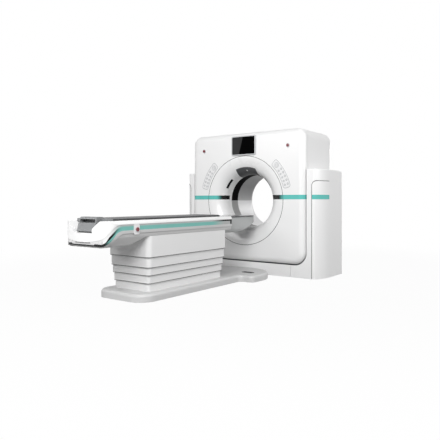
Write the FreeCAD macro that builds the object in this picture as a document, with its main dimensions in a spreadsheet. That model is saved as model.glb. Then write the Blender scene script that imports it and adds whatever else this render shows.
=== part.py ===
import FreeCAD
import Part
import Sketcher
import math
import os
from FreeCAD import Vector

# Frame: origin on the floor under the centre of the bore, +Z up, +Y from the couch into the
# bore, +X to the right of someone who faces the gantry from the couch. Lengths in millimetres.

SIZES = (
    # bore and ring
    ("iso_height", 962, "floor to the centre of the bore"),
    ("bore_radius", 350, "inner radius of the bore"),
    ("bore_wall", 5, "wall of the scan window, ring and rear liner"),
    ("front_face", 295, "scan plane to the front cover's face"),
    ("funnel_radius", 220, "radius of the ring's rolled lip"),
    ("ring_radius", 584, "seam between ring and front cover"),
    ("window_rear", 80, "scan plane to the scan window's rear edge"),
    ("rear_face", 560, "scan plane to the rear cover's face"),
    ("rear_funnel_radius", 148, "radius of the rear liner's rolled lip"),
    # gantry covers
    ("cover_half_width", 873, "half the width of the gantry covers"),
    ("cover_top", 1860, "floor to the top of the gantry"),
    ("cover_bottom", 165, "floor to the underside of the gantry"),
    ("cover_wall", 5, "wall of every moulded cover"),
    ("top_corner_radius", 120, "upper corners of the covers, seen from the front"),
    ("bottom_corner_radius", 160, "lower corners of the covers"),
    ("front_edge_radius", 80, "rounding from the front face to the sides"),
    ("rear_edge_radius", 100, "rounding from the rear face to the sides"),
    ("front_seam", 190, "scan plane to the seam behind the front cover"),
    ("rear_seam", 440, "scan plane to the seam before the rear cover"),
    ("seam_gap", 4, "open joint between two covers"),
    ("lip_depth", 20, "inner lip that a cover slides over"),
    # pillars and plinth
    ("pillar_front", 240, "scan plane to the front of pillars and plinth"),
    ("pillar_rear", 470, "scan plane to the back of the pillars"),
    ("pillar_gap", 12, "gantry cover to pillar"),
    ("pillar_width", 175, "width of a pillar"),
    ("pillar_height", 1349, "floor to the top of a pillar"),
    ("pillar_round_depth", 270, "depth of the pillar's rounded front corner"),
    ("door_width", 108, "width of a pillar door"),
    ("door_top", 1200, "floor to the top of a pillar door"),
    ("door_corner_radius", 60, "upper corner of a pillar door"),
    ("plinth_half_width", 660, "half the width of the middle plinth cover"),
    ("plinth_height", 152, "floor to the top of the plinth"),
    ("plinth_wall", 15, "thickness of the plinth covers"),
    # stripe, display, controls
    ("stripe_rise", 13, "centre of the bore to the lower edge of the teal stripe"),
    ("stripe_height", 55, "height of the teal stripe"),
    ("stripe_proud", 1.5, "how far the stripe stands out"),
    ("display_half_width", 190, "half the width of the display frame"),
    ("display_bottom", 1556, "floor to the bottom of the display frame"),
    ("display_height", 259, "height of the display frame"),
    ("display_depth", 18, "how far the display frame stands out"),
    ("display_border", 14, "visible width of the display frame"),
    ("panel_inner_radius", 612, "control panel's edge nearest the ring"),
    ("panel_outer_radius", 718, "control panel's outer edge"),
    ("panel_start_angle", 13.5, "control panel's lower end, degrees above level"),
    ("panel_end_angle", 47.5, "control panel's upper end, degrees above level"),
    ("panel_thickness", 4, "how far a control panel stands out"),
    ("key_radius", 11, "radius of a control key"),
    ("stop_half_span", 657, "middle of the object to a gantry emergency stop"),
    ("stop_height", 1648, "floor to the gantry emergency stops"),
    ("stop_base_radius", 27, "radius of an emergency stop's base"),
    ("stop_base_depth", 6, "how far an emergency stop's base stands out"),
    ("stop_head_radius", 19, "radius of an emergency stop's head"),
    ("stop_travel", 4, "travel of an emergency stop"),
    # inside the gantry
    ("running_clearance", 0.1, "radial clearance of a running fit"),
    ("trunnion_radius", 55, "radius of the tilt trunnions"),
    ("bearing_block_radius", 95, "outer radius of a tilt bearing"),
    ("upright_setback", 75, "pillar's inner side to the middle of an upright"),
    ("upright_thickness", 40, "thickness of an upright"),
    ("floor_plate_thickness", 16, "thickness of the floor plate"),
    ("beam_height", 80, "height of the base beams"),
    ("anchor_radius", 11, "radius of the floor anchor holes"),
    ("anchor_spacing_x", 1200, "anchor holes, side to side"),
    ("anchor_spacing_y", 480, "anchor holes, front to back"),
    ("frame_front", 150, "scan plane to the front of the tilt frame"),
    ("frame_thickness", 45, "thickness of the tilt frame's plate"),
    ("bearing_outer_radius", 500, "outer radius of the main bearing"),
    ("inner_race_share", 0.37, "share of the main bearing's depth that its inner race takes"),
    ("hub_radius", 405, "seat of the inner race on the rotor's hub"),
    ("rotor_radius", 740, "outer radius of the rotor plate"),
    ("rotor_plate_front", 70, "scan plane to the front of the rotor plate"),
    ("rotor_plate_thickness", 30, "thickness of the rotor plate"),
    ("focus_radius", 610, "axis of the tube to the axis of the bore"),
    ("tube_radius", 95, "radius of the X-ray tube housing"),
    ("tube_length", 210, "length of the X-ray tube housing"),
    ("detector_radius", 480, "inner radius of the detector arc"),
    ("detector_depth", 90, "radial depth of the detector arc"),
    ("detector_half_angle", 29, "half the angle that the detector spans"),
    ("detector_width", 110, "detector size along the bore"),
    ("slip_ring_depth", 18, "thickness of the slip ring"),
    ("belt_thickness", 5, "thickness of the drive belt"),
    ("belt_width", 22, "width of the drive belt"),
    ("pulley_radius", 50, "radius of the drive pulley"),
    ("pulley_offset", 640, "middle of the object to the pulley's axis"),
    ("pulley_drop", 540, "pulley's axis below the centre of the bore"),
    # couch pedestal
    ("tier_half_width", 287, "half the width of the top pedestal cover"),
    ("tier_foot_end", 2364, "scan plane to the top cover's foot end"),
    ("tier_head_end", 1086, "scan plane to the top cover's gantry end"),
    ("tier_step", 12, "how much smaller each cover is than the one above"),
    ("tier_wall", 4, "wall of the pedestal covers"),
    ("tier_corner_radius", 52, "vertical corners of the top pedestal cover"),
    ("tier_height", 200, "height of the pedestal covers"),
    ("tier_2_bottom", 311, "floor to the second cover's lower edge"),
    ("tier_3_bottom", 234, "floor to the third cover's lower edge"),
    ("tier_4_bottom", 154, "floor to the fourth cover's lower edge"),
    ("tier_1_bottom", 411, "floor to the top cover's lower edge"),
    ("column_half_size", 110, "half the width of the lowest lift stage"),
    ("column_wall", 8, "wall of the lift stages"),
    ("column_clearance", 2, "gap between two lift stages"),
    ("column_centre", 1722, "scan plane to the lift column's axis"),
    ("column_stage_length", 220, "length of a lift stage"),
    ("stage_rise", 81, "how much higher each lift stage starts than the one round it"),
    # couch base on the floor
    ("base_half_width", 336, "half the width of the base strip"),
    ("base_foot_end", 2496, "scan plane to the base's foot end"),
    ("base_height", 78, "height of the base cover"),
    ("base_lobe_half_width", 515, "half the width of the base's gantry end"),
    ("base_lobe_start", 885, "scan plane to where the base widens"),
    ("base_edge_radius", 30, "rounded upper edge of the base cover"),
    # couch top
    ("couch_half_width", 300, "half the width of the couch"),
    ("couch_foot_end", 2915, "scan plane to the couch's foot end"),
    ("foot_bow", 40, "how far the foot end's middle stands out past its corners"),
    ("foot_bow_radius", 1200, "radius of the foot end's bow"),
    ("couch_head_end", 1000, "scan plane to the end of the couch's shells"),
    ("couch_corner_radius", 115, "foot-end corners of the couch, seen from above"),
    ("couch_rim", 775, "floor to the rim of the upper shell"),
    ("upper_shell_edge", 741, "floor to the upper shell's lower edge"),
    ("stripe_band", 54, "height of the couch's side stripe"),
    ("stripe_crest", 130, "foot end to where the stripe starts to drop"),
    ("lip_height", 28, "height of the bead under the stripe"),
    ("couch_underside", 620, "floor to the underside over the pedestal"),
    ("head_underside", 565, "floor to the lower edge of the foot-end head"),
    ("hem", 536, "floor to where the couch's rounded lower corners end"),
    ("hem_side_radius", 110, "lower corners of the couch, seen from the end"),
    ("hem_foot_radius", 60, "lower edge of the foot end, seen from the side"),
    ("belly_underside", 538, "floor to the underside of the foot end"),
    ("trough_half_width", 222, "half the width of the cradle's channel"),
    ("trough_depth", 25, "depth of the channel's upper step"),
    ("trough_floor", 668, "floor to the bottom of the channel"),
    ("trough_floor_half_width", 138, "half the width of the channel's bottom"),
    ("trough_shoulder", 702, "floor to the lower end of the channel's slope"),
    ("mouth_half_width", 126, "half the width of the channel's narrow foot end"),
    ("mouth_depth", 109, "length of the channel's narrow foot end"),
    ("mouth_shoulder", 706, "floor to where the narrow foot end flares"),
    ("mouth_flare_half_width", 216, "half the width of the flare at the rim"),
    ("nose_half_width", 205, "half the width of the nose"),
    ("nose_tip", 303, "scan plane to the tip of the nose"),
    ("nose_underside", 573, "floor to the underside of the nose"),
    ("nose_corner_radius", 108, "corners of the nose, seen from above"),
    ("cradle_half_width", 214, "half the width of the cradle board"),
    ("cradle_underside", 757, "floor to the underside of the cradle board"),
    ("cradle_thickness", 13, "thickness of the cradle board"),
    ("cradle_gap", 0.4, "gap under the cradle board"),
    ("mattress_thickness", 24, "thickness of the mattress at its edge"),
    ("mattress_head_end", 1070, "scan plane to the mattress's gantry end"),
    ("handle_depth", 96, "length of the cradle's foot-end handle"),
    ("handle_recess", 37, "foot end to the lower edge of the handle's face"),
    ("handle_lean", 25, "how far the handle's face leans back up to the rim"),
    ("handle_lap", 42, "how far the handle laps over the cradle board"),
    ("handle_half_width", 120, "half the width of the handle's body"),
    ("handle_clearance", 9, "gap under the handle"),
    ("roller_radius", 19, "radius of the cradle roller"),
    ("roller_half_length", 175, "half the length of the cradle roller"),
    ("axle_radius", 6, "radius of the cradle roller's axle"),
    ("couch_stop_place", 2530, "scan plane to the couch emergency stops"),
)

document = FreeCAD.newDocument("ct_scanner")
sheet = document.addObject("Spreadsheet::Sheet", "sizes")


class Size:
    """A length worked out from the sheet: its number now, and the expression that keeps it bound."""

    def __init__(self, value, text):
        self.value = value
        self.text = text

    def joined(self, sign, other, value):
        return Size(value, "(%s %s %s)" % (self.text, sign, written(other)))

    def __add__(self, other):
        return self.joined("+", other, self.value + number(other))

    def __sub__(self, other):
        return self.joined("-", other, self.value - number(other))

    def __mul__(self, other):
        return self.joined("*", other, self.value * number(other))

    def __truediv__(self, other):
        return self.joined("/", other, self.value / number(other))

    def __neg__(self):
        return Size(-self.value, "(-%s)" % self.text)

    def __rsub__(self, other):
        return -self + other


def number(size):
    return size.value if isinstance(size, Size) else size


def written(size):
    return size.text if isinstance(size, Size) else repr(size)


class Sizes:
    """The sheet's rows by name."""


size = Sizes()
for row, (alias, value, meaning) in enumerate(SIZES, 1):
    sheet.set("A%d" % row, str(value))
    sheet.setAlias("A%d" % row, alias)
    sheet.set("B%d" % row, meaning)
    setattr(size, alias, Size(float(value), "sizes." + alias))
document.recompute()
size.pillar_inner = size.cover_half_width + size.pillar_gap
size.pillar_half_span = size.pillar_inner + size.pillar_width
size.door_edge = size.pillar_half_span - size.door_width
size.upright_offset = size.pillar_inner + size.upright_setback
size.split_radius = size.hub_radius + (size.bearing_outer_radius - size.hub_radius) * size.inner_race_share

parts = []  # every sub-part, in the order it is made


# ---------------------------------------------------------------- document helpers


def bind(target, path, length):
    """Give a property its value, bound to the sheet where the length comes from there."""
    if isinstance(length, Size):
        target.setExpression(path, length.text)
    elif path.startswith("Placement.Base."):
        base = target.Placement.Base
        setattr(base, path[-1], length)
        target.Placement = FreeCAD.Placement(base, target.Placement.Rotation)
    else:
        setattr(target, path, length)


def place(target, x=0, y=0, z=0, turn=None):
    if turn:
        target.Placement = FreeCAD.Placement(Vector(), turn)
    for axis, length in (("x", x), ("y", y), ("z", z)):
        bind(target, "Placement.Base." + axis, length)


def finished(target, label):
    """Name a sub-part and put it on the list of those to be written."""
    target.Label = label
    parts.append(target)
    return target


def box(name, low, high):
    """A box between two corners."""
    block = document.addObject("Part::Box", name)
    for side, axis in enumerate(("Length", "Width", "Height")):
        bind(block, axis, high[side] - low[side])
    place(block, *low)
    return block


ALONG_X = FreeCAD.Rotation(Vector(0, 1, 0), 90)
ALONG_Y = FreeCAD.Rotation(Vector(1, 0, 0), -90)


def cylinder(name, radius, length, start, turn=None):
    """A cylinder from a start point along Z, or along the way that turn gives."""
    round_bar = document.addObject("Part::Cylinder", name)
    bind(round_bar, "Radius", radius)
    bind(round_bar, "Height", length)
    place(round_bar, *start, turn=turn)
    return round_bar


def fused(name, pieces):
    union = document.addObject("Part::MultiFuse", name)
    union.Shapes = pieces
    return union


def grouped(name, pieces):
    group = document.addObject("Part::Compound", name)
    group.Links = pieces
    return group


def cut(name, base, tool):
    difference = document.addObject("Part::Cut", name)
    difference.Base = base
    difference.Tool = tool
    return difference


def feature(name, shape):
    """A sub-part whose shape is worked out here from the sheet's sizes."""
    solid = document.addObject("Part::Feature", name)
    solid.Shape = shape
    return solid


# ---------------------------------------------------------------- sketches and bodies


def new_body(name, z=0):
    body = document.addObject("PartDesign::Body", name)
    bind(body, "Placement.Base.z", z)
    return body


def origin_plane(body, role):
    return next(item for item in body.Origin.OriginFeatures if item.Role == role)


def sketch_on(body, role, outlines, offset=0):
    """A sketch whose corners are all dimensioned from the origin.

    A corner is (u, v), or (u, v, radius) where an arc leads to it, bulging left of the way
    there, or right with a negative radius.
    """
    sketch = body.newObject("Sketcher::SketchObject", body.Name + "_outline")
    sketch.AttachmentSupport = (origin_plane(body, role), [""])
    sketch.MapMode = "FlatFace"
    if isinstance(offset, Size):
        sketch.setExpression("AttachmentOffset.Base.z", offset.text)
    else:
        sketch.AttachmentOffset = FreeCAD.Placement(Vector(0, 0, offset), FreeCAD.Rotation())
    for outline in outlines:
        draw(sketch, outline)
    return sketch


def draw(sketch, outline):
    first = sketch.GeometryCount
    count = len(outline)
    ends = []
    for index, corner in enumerate(outline):
        goal = outline[(index + 1) % count]
        start = Vector(number(corner[0]), number(corner[1]), 0)
        end = Vector(number(goal[0]), number(goal[1]), 0)
        if len(goal) == 2:
            sketch.addGeometry(Part.LineSegment(start, end), False)
            ends.append((1, 2))
        else:
            ends.append(draw_arc(sketch, start, end, goal[2]))
    for index, corner in enumerate(outline):
        piece = first + index
        begin, finish = ends[index]
        following = first + (index + 1) % count
        joint = ("Coincident", piece, finish, following, ends[(index + 1) % count][0])
        sketch.addConstraint(Sketcher.Constraint(*joint))
        dimension(sketch, "DistanceX", piece, begin, corner[0])
        dimension(sketch, "DistanceY", piece, begin, corner[1])
        goal = outline[(index + 1) % count]
        if len(goal) == 3:
            radius = goal[2] if number(goal[2]) > 0 else -goal[2]
            row = sketch.addConstraint(Sketcher.Constraint("Radius", piece, number(radius)))
            if isinstance(radius, Size):
                sketch.setExpression("Constraints[%d]" % row, radius.text)


def draw_arc(sketch, start, end, radius):
    """The short arc between two corners; tells which of its ends is which corner."""
    radius = number(radius)
    half = (end - start) * 0.5
    left = Vector(-half.y, half.x, 0).normalize()
    rise = math.sqrt(max(radius * radius - half.Length * half.Length, 0.0))
    centre = start + half - left * math.copysign(rise, radius)
    circle = Part.Circle(centre, Vector(0, 0, 1), abs(radius))
    first, last = (start, end) if radius < 0 else (end, start)
    spans = [math.atan2(point.y - centre.y, point.x - centre.x) for point in (first, last)]
    sketch.addGeometry(Part.ArcOfCircle(circle, spans[0], spans[1]), False)
    return (1, 2) if radius < 0 else (2, 1)


def dimension(sketch, kind, piece, point, length):
    if number(length) == 0:
        axis = -2 if kind == "DistanceX" else -1
        sketch.addConstraint(Sketcher.Constraint("PointOnObject", piece, point, axis))
        return
    row = sketch.addConstraint(
        Sketcher.Constraint(kind, -1, 1, piece, point, number(length))
    )
    if isinstance(length, Size):
        sketch.setExpression("Constraints[%d]" % row, length.text)


def pad(body, sketch, length, reverse=False):
    solid = body.newObject("PartDesign::Pad", body.Name + "_pad")
    solid.Profile = sketch
    solid.Reversed = reverse
    bind(solid, "Length", length)
    document.recompute()
    return solid


def pocket(body, sketch, length, reverse=False):
    hollow = body.newObject("PartDesign::Pocket", body.Name + "_pocket")
    hollow.Profile = sketch
    hollow.Reversed = reverse
    bind(hollow, "Length", length)
    document.recompute()
    return hollow


def revolve(body, sketch, degrees=360, midplane=False):
    turned = body.newObject("PartDesign::Revolution", body.Name + "_turn")
    turned.Profile = sketch
    turned.ReferenceAxis = (sketch, ["H_Axis"])
    bind(turned, "Angle", degrees)
    turned.Midplane = midplane
    document.recompute()
    return turned


def rectangle(low_u, low_v, high_u, high_v):
    return [(low_u, low_v), (high_u, low_v), (high_u, high_v), (low_u, high_v)]


def rounded_rectangle(low_u, low_v, high_u, high_v, radius):
    """A rectangle with four round corners, drawn anticlockwise."""
    return [
        (low_u + radius, low_v, -radius),
        (high_u - radius, low_v),
        (high_u, low_v + radius, -radius),
        (high_u, high_v - radius),
        (high_u - radius, high_v, -radius),
        (low_u + radius, high_v),
        (low_u, high_v - radius, -radius),
        (low_u, low_v + radius),
    ]


# ---------------------------------------------------------------- shapes worked out from the sizes


def arc_between(start, middle, end):
    return Part.Arc(Vector(*start), Vector(*middle), Vector(*end)).toShape()


def line_between(start, end):
    return Part.makeLine(Vector(*start), Vector(*end))


def rounded_wire(corners, plane):
    """A closed wire through (u, v, radius) corners; plane turns (u, v) into a point."""
    count = len(corners)
    points = [Vector(*plane(u, v)) for u, v, radius in corners]
    entries = []
    exits = []
    bulges = []
    for index, corner in enumerate(corners):
        here = points[index]
        back = (points[index - 1] - here).normalize()
        ahead = (points[(index + 1) % count] - here).normalize()
        radius = corner[2]
        half_angle = back.getAngle(ahead) / 2
        reach = radius / math.tan(half_angle)
        middle = (back + ahead).normalize()
        entries.append(here + back * reach)
        exits.append(here + ahead * reach)
        bulges.append(here + middle * (radius / math.sin(half_angle) - radius))
    edges = []
    for index, corner in enumerate(corners):
        if corner[2] > 0:
            edges.append(Part.Arc(entries[index], bulges[index], exits[index]).toShape())
        following = (index + 1) % count
        if (entries[following] - exits[index]).Length > 0.001:
            edges.append(Part.makeLine(exits[index], entries[following]))
    return Part.Wire(edges)


def xz(u, v):
    return (u, 0, v)


def yz(u, v):
    return (0, u, v)


def xy(u, v):
    return (u, v, 0)


def prism(corners, plane, start, length):
    """Extrude a rounded outline along the axis that its plane leaves free."""
    wire = rounded_wire(corners, plane)
    way = Vector(1, 1, 1) - Vector(*plane(1, 1))
    wire.translate(way * start)
    return Part.Face(wire).extrude(way * length)


def block(x0, x1, y0, y1, z0, z1):
    return Part.makeBox(x1 - x0, y1 - y0, z1 - z0, Vector(x0, y0, z0))


def both_sides(shape):
    """The shape and its mirror image across the middle plane."""
    return Part.makeCompound([shape, shape.mirror(Vector(), Vector(1, 0, 0))])


def solid_of(shape):
    """The one solid in a boolean's result."""
    solids = shape.removeSplitter().Solids
    return solids[0] if len(solids) == 1 else Part.makeCompound(solids)


ISO = size.iso_height.value
WALL = size.cover_wall.value
PILLAR_INNER = size.pillar_inner.value
FAR = 4000  # beyond every piece, for the tools that cut
SEAM = 4.5  # open joint between ring and front cover


# ---------------------------------------------------------------- gantry covers


def cover_outline(inset):
    half = size.cover_half_width.value - inset
    bottom = size.cover_bottom.value + inset
    top = size.cover_top.value - inset
    low = size.bottom_corner_radius.value - inset
    high = size.top_corner_radius.value - inset
    return [(-half, bottom, low), (half, bottom, low), (half, top, high), (-half, top, high)]


def tilt_sweep_radius():
    """The front lower edge's distance from the tilt axis: nothing behind it reaches further."""
    drop = size.iso_height.value - size.cover_bottom.value
    return math.hypot(drop, size.pillar_front.value)


def gantry_body(inset):
    """The closed form of the whole gantry, drawn in by inset."""
    front = -size.front_face.value + inset
    rear = size.rear_face.value - inset
    form = prism(cover_outline(inset), xz, front, rear - front)
    for place_y, radius in (
        (front, size.front_edge_radius.value),
        (rear, size.rear_edge_radius.value),
    ):
        rim = [
            edge
            for edge in form.Edges
            if edge.BoundBox.YLength < 0.01 and abs(edge.BoundBox.YMin - place_y) < 0.01
        ]
        form = form.makeFillet(radius - inset, rim)
    half = size.cover_half_width.value + 10
    sweep = Part.makeCylinder(
        tilt_sweep_radius() - inset, 2 * half, Vector(-half, 0, ISO), Vector(1, 0, 0)
    )
    upper = block(-half, half, front - 1, rear + 1, ISO - 500, size.cover_top.value + 1)
    lower_front = block(-half, half, front - 1, 0, 0, ISO)
    return form.common(sweep.fuse(upper).fuse(lower_front))


OUTER = gantry_body(0)
INNER = gantry_body(WALL)
LIP = gantry_body(2 * WALL)


def span(y0, y1, x0=-2000, x1=2000):
    return block(x0, x1, y0, y1, 0, 3000)


def bore_hole(radius, y0, y1):
    return Part.makeCylinder(radius, y1 - y0, Vector(0, y0, ISO), Vector(0, 1, 0))


def make_covers():
    shell = OUTER.cut(INNER)
    lip = INNER.cut(LIP)
    gap = size.seam_gap.value
    front_seam = -size.front_seam.value
    rear_seam = size.rear_seam.value
    deep = size.lip_depth.value

    front = shell.common(span(-900, front_seam)).fuse(
        lip.common(span(front_seam - deep, front_seam + deep))
    )
    front = front.cut(bore_hole(size.ring_radius.value + SEAM, -900, 0))
    finished(feature("front_cover", solid_of(front)), "front_cover")

    rear = shell.common(span(rear_seam + gap, 900)).fuse(
        lip.common(span(rear_seam - deep, rear_seam + gap + deep))
    )
    rear_hole = size.bore_radius.value + size.rear_funnel_radius.value + 2
    rear = rear.cut(bore_hole(rear_hole, rear_seam, 900))
    finished(feature("rear_cover", solid_of(rear)), "rear_cover")

    trunnion = Part.makeCylinder(
        size.trunnion_radius.value + gap, 4000, Vector(-2000, 0, ISO), Vector(1, 0, 0)
    )
    for label, x0, x1 in (
        ("side_cover_left", -2000, -gap / 2),
        ("side_cover_right", gap / 2, 2000),
    ):
        side = shell.common(span(front_seam + gap, rear_seam, x0, x1)).cut(trunnion)
        finished(feature(label, solid_of(side)), label)


def funnel_corners(radius, wall):
    """The ring's section above the bore's axis, from the bore out to its hidden flange."""
    roll = size.funnel_radius
    face = size.front_face
    seam = size.ring_radius
    flange = seam + 26
    back = -(face - wall)
    return [
        (roll - face, radius),
        (-face, radius + roll, roll),
        (-face, seam),
        (back, seam),
        (back, flange),
        (back + wall, flange),
        (back + wall, radius + roll),
        (roll - face, radius + wall * 2, -(roll - wall * 2)),
    ]


def make_ring_and_bore():
    wall = size.bore_wall
    radius = size.bore_radius
    for label, side in (("front_ring_upper", 1), ("front_ring_lower", -1)):
        body = new_body(label, size.iso_height)
        corners = funnel_corners(radius, wall)
        if side < 0:
            corners = [flipped(corner) for corner in corners]
        section = sketch_on(body, "YZ_Plane", [corners])
        revolve(body, section, 180, midplane=True)
        finished(body, label)

    body = new_body("scan_window", size.iso_height)
    section = sketch_on(
        body,
        "YZ_Plane",
        [rectangle(size.funnel_radius - size.front_face, radius, size.window_rear, radius + wall)],
    )
    revolve(body, section)
    finished(body, "scan_window")

    body = new_body("rear_liner", size.iso_height)
    roll = size.rear_funnel_radius
    rear = size.rear_face
    seam = radius + roll
    flange = seam + 30
    section = sketch_on(
        body,
        "YZ_Plane",
        [
            [
                (size.window_rear, radius),
                (rear - roll, radius),
                (rear, seam, -roll),
                (rear - wall, seam),
                (rear - wall, flange),
                (rear - wall * 2, flange),
                (rear - wall * 2, seam),
                (rear - roll, radius + wall * 2, roll - wall * 2),
                (size.window_rear, radius + wall * 2),
            ]
        ],
    )
    revolve(body, section)
    finished(body, "rear_liner")


def flipped(corner):
    """The same corner below the bore's axis."""
    if len(corner) == 3:
        return (corner[0], -corner[1], -corner[2])
    return (corner[0], -corner[1])


def funnel_patch(y0, y1, thickness):
    """A strip of the ring's surface between two depths, as a section to be revolved."""
    roll = size.funnel_radius.value
    centre_y = roll - size.front_face.value
    centre_r = size.bore_radius.value + roll
    rows = []
    for reach in (roll, roll + thickness):
        rows.append([surface_point(centre_y, centre_r, reach, y) for y in (y0, (y0 + y1) / 2, y1)])
    near, far = rows
    edges = [
        arc_between(*near),
        line_between(near[2], far[2]),
        arc_between(far[2], far[1], far[0]),
        line_between(far[0], near[0]),
    ]
    return Part.Face(Part.Wire(edges))


def surface_point(centre_y, centre_r, reach, y):
    """The point of the ring's arc, or one proud of it, that lies at the depth y."""
    side = centre_y - y
    return (0, y, ISO + centre_r - math.sqrt(reach * reach - side * side))


def patch_about_bore(y0, y1, thickness, middle, half_angle):
    """That strip, turned round the bore to the angle middle, measured from straight up."""
    section = funnel_patch(y0, y1, thickness)
    axis = (Vector(0, 0, ISO), Vector(0, 1, 0))
    section.rotate(axis[0], axis[1], middle - half_angle)
    return section.revolve(axis[0], axis[1], 2 * half_angle)


def make_ring_trim():
    straight = block(-155, 155, -FAR, 0, ISO, ISO + FAR)
    sensor = patch_about_bore(-255, -77, 3, 0, 29).common(straight)
    lens = Part.makeCylinder(12, 60, Vector(0, -215, ISO + 370), Vector(0, 0, 1))
    sensor = sensor.cut(lens)
    finished(feature("sensor_panel", solid_of(sensor)), "sensor_panel")

    windows = []
    for middle in (-53, 53):
        windows.append(patch_about_bore(-203, -176, 2, middle, 11))
    finished(feature("laser_windows", Part.makeCompound(windows)), "laser_windows")


def ring_strip(inner_y, thickness):
    """The stripe's part on the ring: over the roll and the flat rim, cut off at the joint."""
    roll = size.funnel_radius.value
    face = -size.front_face.value
    centre_y = face + roll
    centre_r = size.bore_radius.value + roll
    rim = ISO + size.ring_radius.value - 0.5
    rows = []
    for reach, end in ((roll, face), (roll + thickness, face - thickness)):
        ways = (inner_y, (inner_y + end) / 2, end)
        rows.append([surface_point(centre_y, centre_r, reach, y) for y in ways])
    near, far = rows
    edges = [
        arc_between(*near),
        line_between(near[2], (0, face, rim)),
        line_between((0, face, rim), (0, face - thickness, rim)),
        line_between((0, face - thickness, rim), far[2]),
        arc_between(far[2], far[1], far[0]),
        line_between(far[0], near[0]),
    ]
    section = Part.Face(Part.Wire(edges))
    centre = Vector(0, 0, ISO)
    way = Vector(0, 1, 0)
    half_angle = 15
    section.rotate(centre, way, 90 - half_angle)
    return section.revolve(centre, way, 2 * half_angle)


def stripe_span():
    low = ISO + size.stripe_rise.value
    return low, low + size.stripe_height.value


def make_stripes():
    low, high = stripe_span()
    proud = size.stripe_proud.value
    skin = gantry_body(-proud).cut(OUTER)
    outer_strip = skin.common(
        block(size.bore_radius.value, FAR, -FAR, -size.front_seam.value, low, high)
    ).cut(bore_hole(size.ring_radius.value + SEAM + 0.5, -900, 0))
    on_ring = ring_strip(-120, proud).common(block(0, FAR, -FAR, 0, low, high))
    strips = Part.makeCompound([solid_of(outer_strip), solid_of(on_ring)])
    finished(feature("gantry_stripes", both_sides(strips)), "gantry_stripes")


def make_display():
    half = size.display_half_width.value
    bottom = size.display_bottom.value
    top = bottom + size.display_height.value
    face = -size.front_face.value
    depth = size.display_depth.value
    border = size.display_border.value
    corner = 22
    outline = [
        (-half, bottom, corner),
        (half, bottom, corner),
        (half, top, corner),
        (-half, top, corner),
    ]
    frame = prism(outline, xz, face - depth, depth)
    rim = [
        edge
        for edge in frame.Edges
        if edge.BoundBox.YLength < 0.01 and abs(edge.BoundBox.YMin - face + depth) < 0.01
    ]
    frame = frame.makeFillet(5, rim)
    inner = [
        (-half + border, bottom + border, corner - 8),
        (half - border, bottom + border, corner - 8),
        (half - border, top - border, corner - 8),
        (-half + border, top - border, corner - 8),
    ]
    recess = 6
    frame = frame.cut(prism(inner, xz, face - depth - 1, recess + 1))
    finished(feature("display_frame", solid_of(frame)), "display_frame")
    glass = prism(inner, xz, face - depth + 2, recess - 2)
    finished(feature("display_glass", glass), "display_glass")


def make_control_panels():
    face = -size.front_face.value
    thick = size.panel_thickness.value
    inner = size.panel_inner_radius.value
    outer = size.panel_outer_radius.value
    start = math.radians(size.panel_start_angle.value)
    end = math.radians(size.panel_end_angle.value)

    def at(radius, angle):
        return (radius * math.cos(angle), face - thick, ISO + radius * math.sin(angle))

    middle = (start + end) / 2
    outline = Part.Wire(
        [
            arc_between(at(inner, start), at(inner, middle), at(inner, end)),
            line_between(at(inner, end), at(outer, end)),
            arc_between(at(outer, end), at(outer, middle), at(outer, start)),
            line_between(at(outer, start), at(inner, start)),
        ]
    )
    plate = Part.Face(outline).extrude(Vector(0, thick, 0))
    corners = [
        edge
        for edge in plate.Edges
        if edge.BoundBox.XLength < 0.01 and edge.BoundBox.ZLength < 0.01
    ]
    panel = plate.makeFillet(30, corners)
    keys = []
    rows = 5
    for row in range(rows):
        angle = start + (end - start) * (0.12 + 0.52 * row / (rows - 1))
        for share in (0.3, 0.7):
            point = Vector(*at(inner + (outer - inner) * share, angle))
            keys.append(
                Part.makeCylinder(size.key_radius.value, 2.2, point + Vector(0, -2, 0), Vector(0, 1, 0))
            )
    dial = Vector(*at((inner + outer) / 2, start + (end - start) * 0.84))
    keys.append(Part.makeCylinder(30, 2.2, dial + Vector(0, -2, 0), Vector(0, 1, 0)))
    panel = panel.multiFuse(keys)
    finished(feature("control_panels", both_sides(solid_of(panel))), "control_panels")


def stop_base(start, way):
    base = Part.makeCylinder(
        size.stop_base_radius.value, size.stop_base_depth.value, start, way
    )
    hole = Part.makeCylinder(stop_stem_radius() + 0.4, size.stop_base_depth.value, start, way)
    return base.cut(hole)


def stop_stem_radius():
    return size.stop_head_radius.value / 2


def stop_button(start, way):
    """A mushroom head on a stem; the head stands clear of its base by the travel."""
    lift = size.stop_base_depth.value + size.stop_travel.value + 1
    head_depth = 9
    foot = size.stop_travel.value + 0.5
    stem = Part.makeCylinder(stop_stem_radius(), lift + 1 - foot, start + way * foot, way)
    head = Part.makeCylinder(size.stop_head_radius.value, head_depth, start + way * lift, way)
    crown = [
        edge
        for edge in head.Edges
        if edge.Closed and abs((edge.CenterOfMass - start).dot(way) - lift - head_depth) < 0.01
    ]
    return stem.fuse(head.makeFillet(4, crown)).removeSplitter()


def make_gantry_stops():
    face = -size.front_face.value
    way = Vector(0, -1, 0)
    bases = []
    for label, side in (("gantry_stop_left", -1), ("gantry_stop_right", 1)):
        start = Vector(side * size.stop_half_span.value, face, size.stop_height.value)
        bases.append(stop_base(start, way))
        finished(feature(label, stop_button(start, way)), label)
    finished(feature("gantry_stop_bases", Part.makeCompound(bases)), "gantry_stop_bases")


# ---------------------------------------------------------------- pillars and plinth


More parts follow.
